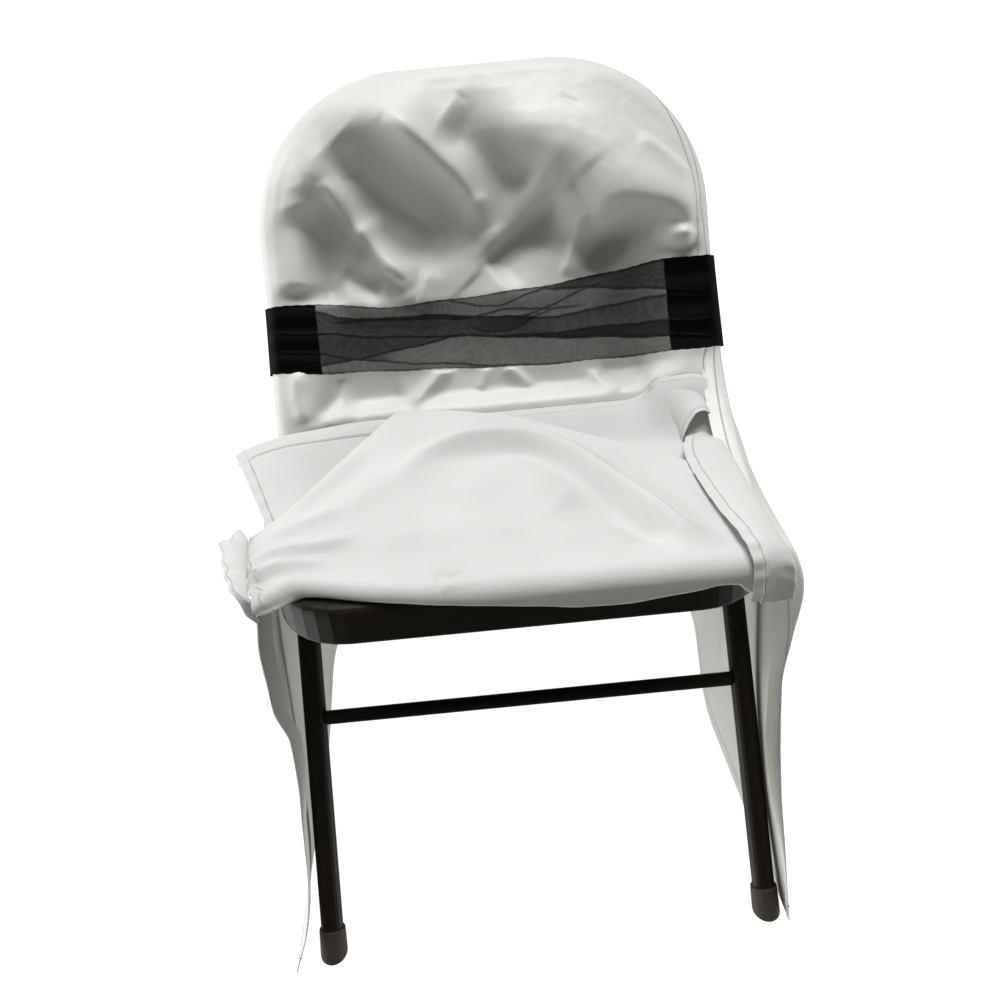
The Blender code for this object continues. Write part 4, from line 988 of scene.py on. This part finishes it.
def sash_grids(front_columns=470, rear_columns=120, rows=66):
    """The sash as a closed band round the back, with its layers at each place."""
    front = np.linspace(-math.pi / 2, math.pi / 2, front_columns)
    rear = np.linspace(math.pi / 2, 3 * math.pi / 2, rear_columns + 2)[1:]
    across = np.sin(np.concatenate((front, rear)))
    behind = np.arange(len(across)) >= front_columns
    grid, layers = [], []
    for share in np.linspace(0.0, 1.0, rows):
        left, right = (hood_half(blend(SASH_EDGES["low"][k], SASH_EDGES["top"][k], share))
                       for k in (0, -1))
        half = np.where(across < 0.0, left, right) + SASH_CLEAR
        x = across * half
        inside = half * (1.0 - np.abs(across))
        count, line = sash_layers(x, share)
        relief = 0.0010 * np.sin(3 * 2 * math.pi * share + x * 9.0) + 0.0012 * line
        relief = (relief + 0.0004 * (count - 1.0)) * ease(0.0, 0.012, inside)
        out = (HUG + SASH_CLEAR) * round_edge(inside)
        back = -out - (SASH_DEPTH - HUG) * ease(0.012, 0.070, inside)
        fray = 0.0006 * np.sin(x * 88.0) + 0.0002 * np.sin(x * 611.0 + 1.0)
        up = blend(*curves(SASH_EDGES, "x", "low top", x), share)
        up = up + fray * (abs(share - 0.5) > 0.49)
        grid.append(back_point(x, up, np.where(behind, back - relief, out + relief)))
        # Painted shade: past the ends the sash is made opaque, which also darkens it for the shade
        # of the cloth behind.
        opaque = 1.0 - window(SASH_ENDS[0] - 0.001, SASH_ENDS[1] + 0.001, x, 0.002)
        layers.append(count + line * 2.0 + opaque * 14.0)
    return np.array(grid), np.array(layers)


# --- Shaders --------------------------------------------------------------------------------

class Value:
    """A shader socket that Python's operators can be used on."""

    def __init__(self, shader, socket):
        self.shader, self.socket = shader, socket

    def math(self, operation, *others):
        return self.shader.node("ShaderNodeMath", {"operation": operation}, self, *others)

    def __rsub__(self, other):
        return self.shader.node("ShaderNodeMath", {"operation": "SUBTRACT"}, other, self)

    __add__ = partialmethod(math, "ADD")
    __sub__ = partialmethod(math, "SUBTRACT")
    __mul__ = partialmethod(math, "MULTIPLY")
    __pow__ = partialmethod(math, "POWER")

    def step(self, low, high):
        """0 below low, 1 above high and a smooth step between them."""
        return self.shader.node("ShaderNodeMapRange", {"interpolation_type": "SMOOTHSTEP"},
                                self, low, high, 0.0, 1.0)


class Shader:
    """A material's nodes, made one call at a time."""

    def __init__(self, name):
        self.material = bpy.data.materials.new(name)
        self.material.use_nodes = True
        self.tree = self.material.node_tree
        self.surface = self.tree.nodes["Principled BSDF"]
        self.place = self.node("ShaderNodeTexCoord", {}, out=3)

    def node(self, kind, settings, *inputs, out=0, **named):
        inputs = [getattr(value, "socket", value) for value in inputs]
        named = {key: getattr(value, "socket", value) for key, value in named.items()}
        return Value(self, add_node(self.tree, kind, settings, *inputs, **named).outputs[out])

    def set(self, **values):
        for key, value in values.items():
            give(self.tree, getattr(value, "socket", value),
                 self.surface.inputs[key.replace("_", " ")])
        return self.material

    def field(self, name):
        return self.node("ShaderNodeAttribute", {"attribute_name": name}, out=2)

    def noise(self, scale, detail=3.0, rough=0.5, where=None):
        return self.node("ShaderNodeTexNoise", {}, Vector=where or self.place, Scale=scale,
                         Detail=detail, Roughness=rough)

    def mix(self, share, first, second, blend_type="MIX"):
        """Colours mixed by a share."""
        made = self.node("ShaderNodeMix", {"data_type": "RGBA", "blend_type": blend_type}, share,
                         out=2)
        for value, target in zip((first, second), made.socket.node.inputs[6:8]):
            give(self.tree, getattr(value, "socket", value), target)
        return made

    def bump(self, height, distance, strength, **normal):
        return self.node("ShaderNodeBump", {}, Strength=strength, Distance=distance,
                         Height=height, **normal)


def rgb(*color):
    return (*color, 1.0)


def cloth_hems(shader, tone):
    """A hem's step and its line of stitches: the cloth's colour there, with painted shade along the
    stitch line, and the height.
    """
    hem = shader.field("hem")
    doubled = 1.0 - hem.step(0.98, 1.03)
    line = 1.0 - ((hem - 0.93).math("ABSOLUTE") * 22.0).math("MINIMUM", 1.0)
    # Painted shade: the cloth is darkened along the stitch line as the shade in its groove would
    # darken it, and very slightly over the doubled hem.
    dark = shader.mix(line * 0.16 + doubled * 0.02, tone, rgb(0.35, 0.34, 0.32), "MULTIPLY")
    return dark, shader.bump(doubled - line * 0.7, 0.0014, 0.8)


def crumpled(shader, crush, fine, step):
    """The normal of cloth with soft dents, a fine unevenness and the step of its hems."""
    dents = shader.bump(crush, 0.0024, 0.5, Normal=step)
    return shader.bump(fine * 0.4, 0.0006, 0.6, Normal=dents)


def cover_satin():
    shader = Shader("cover_satin")
    mottle = shader.noise(14.0)
    fine = shader.noise(90.0)
    crush = shader.noise(38.0, 2.0)
    tone, step = cloth_hems(shader, shader.mix(mottle, rgb(0.68, 0.67, 0.638),
                                               rgb(0.79, 0.78, 0.752)))
    return shader.set(Base_Color=tone, Roughness=fine * 0.14 + 0.42, IOR=1.52,
                      Normal=crumpled(shader, crush + mottle, fine, step))


def cover_wrong_side():
    shader = Shader("cover_wrong_side")
    mottle = shader.noise(16.0)
    crush = shader.noise(34.0)
    tone, step = cloth_hems(shader, shader.mix(mottle, rgb(0.57, 0.58, 0.567),
                                               rgb(0.65, 0.66, 0.646)))
    near = shader.node("ShaderNodeVectorMath", {"operation": "DISTANCE"}, shader.place,
                       tuple(np.array(SMUDGE) + PLACE), out=1)
    smudge = (1.0 - near.step(0.004, 0.026)) * shader.noise(110.0).step(0.36, 0.74)
    tone = shader.mix(smudge * 0.42, tone, rgb(0.33, 0.30, 0.29))
    return shader.set(Base_Color=tone, Roughness=mottle * 0.1 + 0.72, Sheen_Weight=0.1,
                      Normal=crumpled(shader, crush, mottle, step))


def black_organza():
    shader = Shader("black_organza")
    weave = shader.node("ShaderNodeUVMap", {"uv_map": "Weave"})
    threads = shader.noise(1500.0, 1.0, where=weave)
    drift = shader.noise(26.0, 1.0)
    ripple = (drift * 95.0).math("SINE") * 0.018 + 0.565
    clear = (ripple + (threads - 0.5) * 0.2) ** shader.field("layers")
    return shader.set(Base_Color=rgb(0.002, 0.002, 0.0025), Roughness=0.6,
                      Specular_IOR_Level=0.05, Alpha=1.0 - clear)


def worn_finish(shader, worn, dark, light, rough, relief, **others):
    """A surface that changes unevenly between two tones and gets rougher with them."""
    return shader.set(Base_Color=shader.mix(worn, rgb(*dark), rgb(*light)),
                      Roughness=worn * 0.2 + rough, Normal=shader.bump(*relief), **others)


def cover_thread():
    shader = Shader("cover_thread")
    twist = shader.node("ShaderNodeTexWave", {"wave_type": "BANDS", "bands_direction": "DIAGONAL"},
                        Vector=shader.place, Scale=1400.0, Distortion=1.0)
    return worn_finish(shader, shader.noise(60.0), (0.52, 0.51, 0.49), (0.64, 0.63, 0.61), 0.5,
                       (twist, 0.0002, 0.5))


def painted_steel():
    shader = Shader("painted_steel_finish")
    peel = shader.noise(420.0, 2.0)
    return worn_finish(shader, shader.noise(30.0, 6.0, 0.65), (0.013, 0.010, 0.006),
                       (0.022, 0.017, 0.011), 0.42, (peel, 0.0002, 0.35),
                       Specular_IOR_Level=0.14)


def foot_rubber():
    shader = Shader("foot_rubber_finish")
    dust = shader.noise(160.0, 5.0, 0.7)
    return worn_finish(shader, dust, (0.030, 0.023, 0.017), (0.080, 0.064, 0.050), 0.7,
                       (dust, 0.0004, 0.5))


# --- Sizes and colours a user may change ----------------------------------------------------

class CoverSizes(bpy.types.PropertyGroup):
    cloth: FloatProperty(name="Cloth thickness", description="Thickness of the cover's cloth",
                         default=0.0011, unit="LENGTH")
    sash: FloatProperty(name="Sash thickness", description="Thickness of the sash's organza",
                        default=0.0004, unit="LENGTH")


class StudioSettings(bpy.types.PropertyGroup):
    floor_color: FloatVectorProperty(name="Floor colour", description="Colour of the plain floor",
                                     subtype="COLOR", default=(0.22, 0.22, 0.22))
    floor_glow: FloatProperty(name="Floor light", description="How far the floor is lit from below",
                              default=1.0)
    light_power: FloatProperty(name="Lights", description="Strength of the lamps", default=1.0)
    fill_power: FloatProperty(name="Room light", description="Strength of the even room light",
                              default=0.13)


# --- Operators ------------------------------------------------------------------------------

class CHAIRCOVER_OT_stage(bpy.types.Operator):
    """Make the pale floor, the soft lights and the camera."""
    bl_idname = "chaircover.stage"
    bl_label = "Studio"

    def execute(self, context):
        scene = context.scene
        studio = scene.chair_studio
        world = bpy.data.worlds.new("Room light")
        world.use_nodes = True
        background = world.node_tree.nodes["Background"]
        background.inputs["Color"].default_value = rgb(1.0, 0.95, 0.84)
        background.inputs["Strength"].default_value = studio.fill_power
        scene.world = world
        scene.view_settings.view_transform = "Standard"
        floor = bpy.data.meshes.new("studio_floor")
        floor.from_pydata([(x * FLOOR_REACH, y * FLOOR_REACH, 0.0)
                           for x, y in ((-1, -1), (1, -1), (1, 1), (-1, 1))], [], [(0, 1, 2, 3)])
        plane = add_object("studio_floor", floor)
        paper = Shader("studio_paper")
        floor.materials.append(paper.set(
            Base_Color=rgb(*studio.floor_color), Roughness=0.9, Specular_IOR_Level=0.0,
            Emission_Color=rgb(1.0, 1.0, 1.0), Emission_Strength=studio.floor_glow))
        plane.visible_diffuse = plane.visible_glossy = plane.visible_shadow = False
        for name, power, angle, source in STUDIO_LIGHTS:
            light = bpy.data.lights.new(name, "SUN")
            light.energy = power * studio.light_power
            light.angle = math.radians(angle)
            lamp = add_object(name, light)
            lamp.rotation_mode = "QUATERNION"
            lamp.rotation_quaternion = Vector(source).to_track_quat("Z", "Y")
        lens = bpy.data.cameras.new("Camera")
        lens.lens = CAMERA_LENS
        lens.sensor_width = 36.0
        camera = add_object("Camera", lens)
        eye = Vector(CAMERA_PLACE) + Vector(PLACE)
        ahead = Vector(CAMERA_AIM) + Vector(PLACE) - eye
        turn = ahead.to_track_quat("-Z", "Y").to_matrix().to_4x4()
        camera.matrix_world = Matrix.Translation(eye) @ turn @ Matrix.Rotation(
            math.radians(CAMERA_ROLL), 4, "Z")
        scene.camera = camera
        return {"FINISHED"}


class CHAIRCOVER_OT_chair(bpy.types.Operator):
    """Give the chair's steel and rubber their finishes."""
    bl_idname = "chaircover.chair"
    bl_label = "Chair"

    def execute(self, context):
        finishes = {"painted_steel": painted_steel(), "foot_rubber": foot_rubber()}
        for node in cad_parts.values():
            for slot in node.material_slots:
                for name, finish in finishes.items():
                    if slot.material and slot.material.name.startswith(name):
                        slot.material = finish
        return {"FINISHED"}


def cover_piece(name, grids, thickness, material, node, slot_name, hems=None, fields=None,
                **cut):
    """A cloth of the cover that takes a solid's place."""
    piece = stand_for(make_cloth(name, grids, thickness, material, hems, fields), node)
    return piece


class CHAIRCOVER_OT_hood(bpy.types.Operator):
    """Make the hood's front panel and the long rear panel."""
    bl_idname = "chaircover.hood"
    bl_label = "Hood and rear panel"

    def execute(self, context):
        sizes = context.scene.chair_cover
        satin = cover_satin()
        tree = stitch_tree(cover_thread())
        front, rear = front_panel_grid(), rear_panel_grid()
        seams = [inside_edge(front, edge, 0.0012) for edge in ("right", "left")]
        ribs = stitches("hood_seam_stitches", seams, tree, "front_panel", "cover_satin",
                        Pitch=0.0021, Length=0.0030, Radius=0.00070, Turn=math.radians(78.0))
        hems = [inside_edge(rear, "left", 0.0112), inside_edge(rear, "right", 0.0112),
                inside_edge(rear, "last", 0.0186)]
        rows = stitches("rear_hem_stitches", hems, tree, "rear_panel", "cover_satin",
                        Pitch=0.0045, Length=0.0032)
        cover_piece("hood_front_cloth", [front], sizes.cloth, satin, "front_panel",
                    "cover_satin", flat=(0.45, 0.37), held="stretched",
                    rests_on=["back_arch"], with_pieces=[ribs])
        cover_piece("rear_cloth", [rear], sizes.cloth, satin, "rear_panel", "cover_satin",
                    hems=[{"last": 0.020, "left": 0.012, "right": 0.012}], flat=(1.1, 0.86),
                    held="hung", rests_on=["back_arch"], with_pieces=[rows])
        return {"FINISHED"}


class CHAIRCOVER_OT_skirt(bpy.types.Operator):
    """Make the seat cloth with its skirt folded back over it."""
    bl_idname = "chaircover.skirt"
    bl_label = "Seat and skirt"

    def execute(self, context):
        sizes = context.scene.chair_cover
        grids = seat_skirt_grids()
        sheet, band, arch, curl = grids
        seam = np.array([row[np.searchsorted(run, 0.0045)]
                         for row, run in zip(sheet, run_lengths(sheet, 1))])
        hems = [inside_edge(sheet, "right", 0.0177), inside_edge(sheet, "first", 0.0093),
                inside_edge(band, "right", 0.0079), inside_edge(arch, "first", 0.0056),
                inside_edge(curl, "right", 0.0084), seam]
        rows = stitches("skirt_stitches", hems, stitch_tree(cover_thread()), "seat_skirt",
                        "cover_wrong_side")
        cover_piece("seat_skirt_cloth", grids, sizes.cloth, cover_wrong_side(),
                    "seat_skirt", "cover_wrong_side", with_pieces=[rows],
                    hems=[{"right": 0.019, "first": 0.010}, {"right": 0.0085}, {"first": 0.006},
                          {"right": 0.009}],
                    flat=(0.44, 0.75), held="folded", rests_on=["seat_pan"])
        return {"FINISHED"}


class CHAIRCOVER_OT_sash(bpy.types.Operator):
    """Make the organza sash."""
    bl_idname = "chaircover.sash"
    bl_label = "Sash"

    def execute(self, context):
        sizes = context.scene.chair_cover
        grid, layers = sash_grids()
        sash = cover_piece("organza_sash", [grid], sizes.sash, black_organza(), "sash",
                           "black_organza", fields={"layers": [layers]}, flat=(0.075, 0.95),
                           held="stretched", rests_on=["front_panel"])
        sash.visible_shadow = False
        return {"FINISHED"}


OPERATORS = (CHAIRCOVER_OT_stage, CHAIRCOVER_OT_chair, CHAIRCOVER_OT_hood, CHAIRCOVER_OT_skirt,
             CHAIRCOVER_OT_sash)


class CHAIRCOVER_PT_panel(bpy.types.Panel):
    """Lists the pieces and the sizes that may be changed."""
    bl_label = "Chair Cover"
    bl_space_type = "VIEW_3D"
    bl_region_type = "UI"
    bl_category = "Chair Cover"

    def draw(self, context):
        for group in (context.scene.chair_cover, context.scene.chair_studio):
            for name in group.bl_rna.properties.keys():
                if name not in ("rna_type", "name"):
                    self.layout.prop(group, name)
        for operator in OPERATORS:
            self.layout.operator(operator.bl_idname)


CLASSES = (CoverSizes, StudioSettings, *OPERATORS, CHAIRCOVER_PT_panel)


def register():
    for item in CLASSES:
        bpy.utils.register_class(item)
    bpy.types.Scene.chair_cover = PointerProperty(type=CoverSizes)
    bpy.types.Scene.chair_studio = PointerProperty(type=StudioSettings)


def unregister():
    del bpy.types.Scene.chair_studio
    del bpy.types.Scene.chair_cover
    for item in reversed(CLASSES):
        bpy.utils.unregister_class(item)


def main():
    register()
    for operator in OPERATORS:
        group, name = operator.bl_idname.split(".")
        getattr(getattr(bpy.ops, group), name)()


if __name__ == "__main__":
    main()
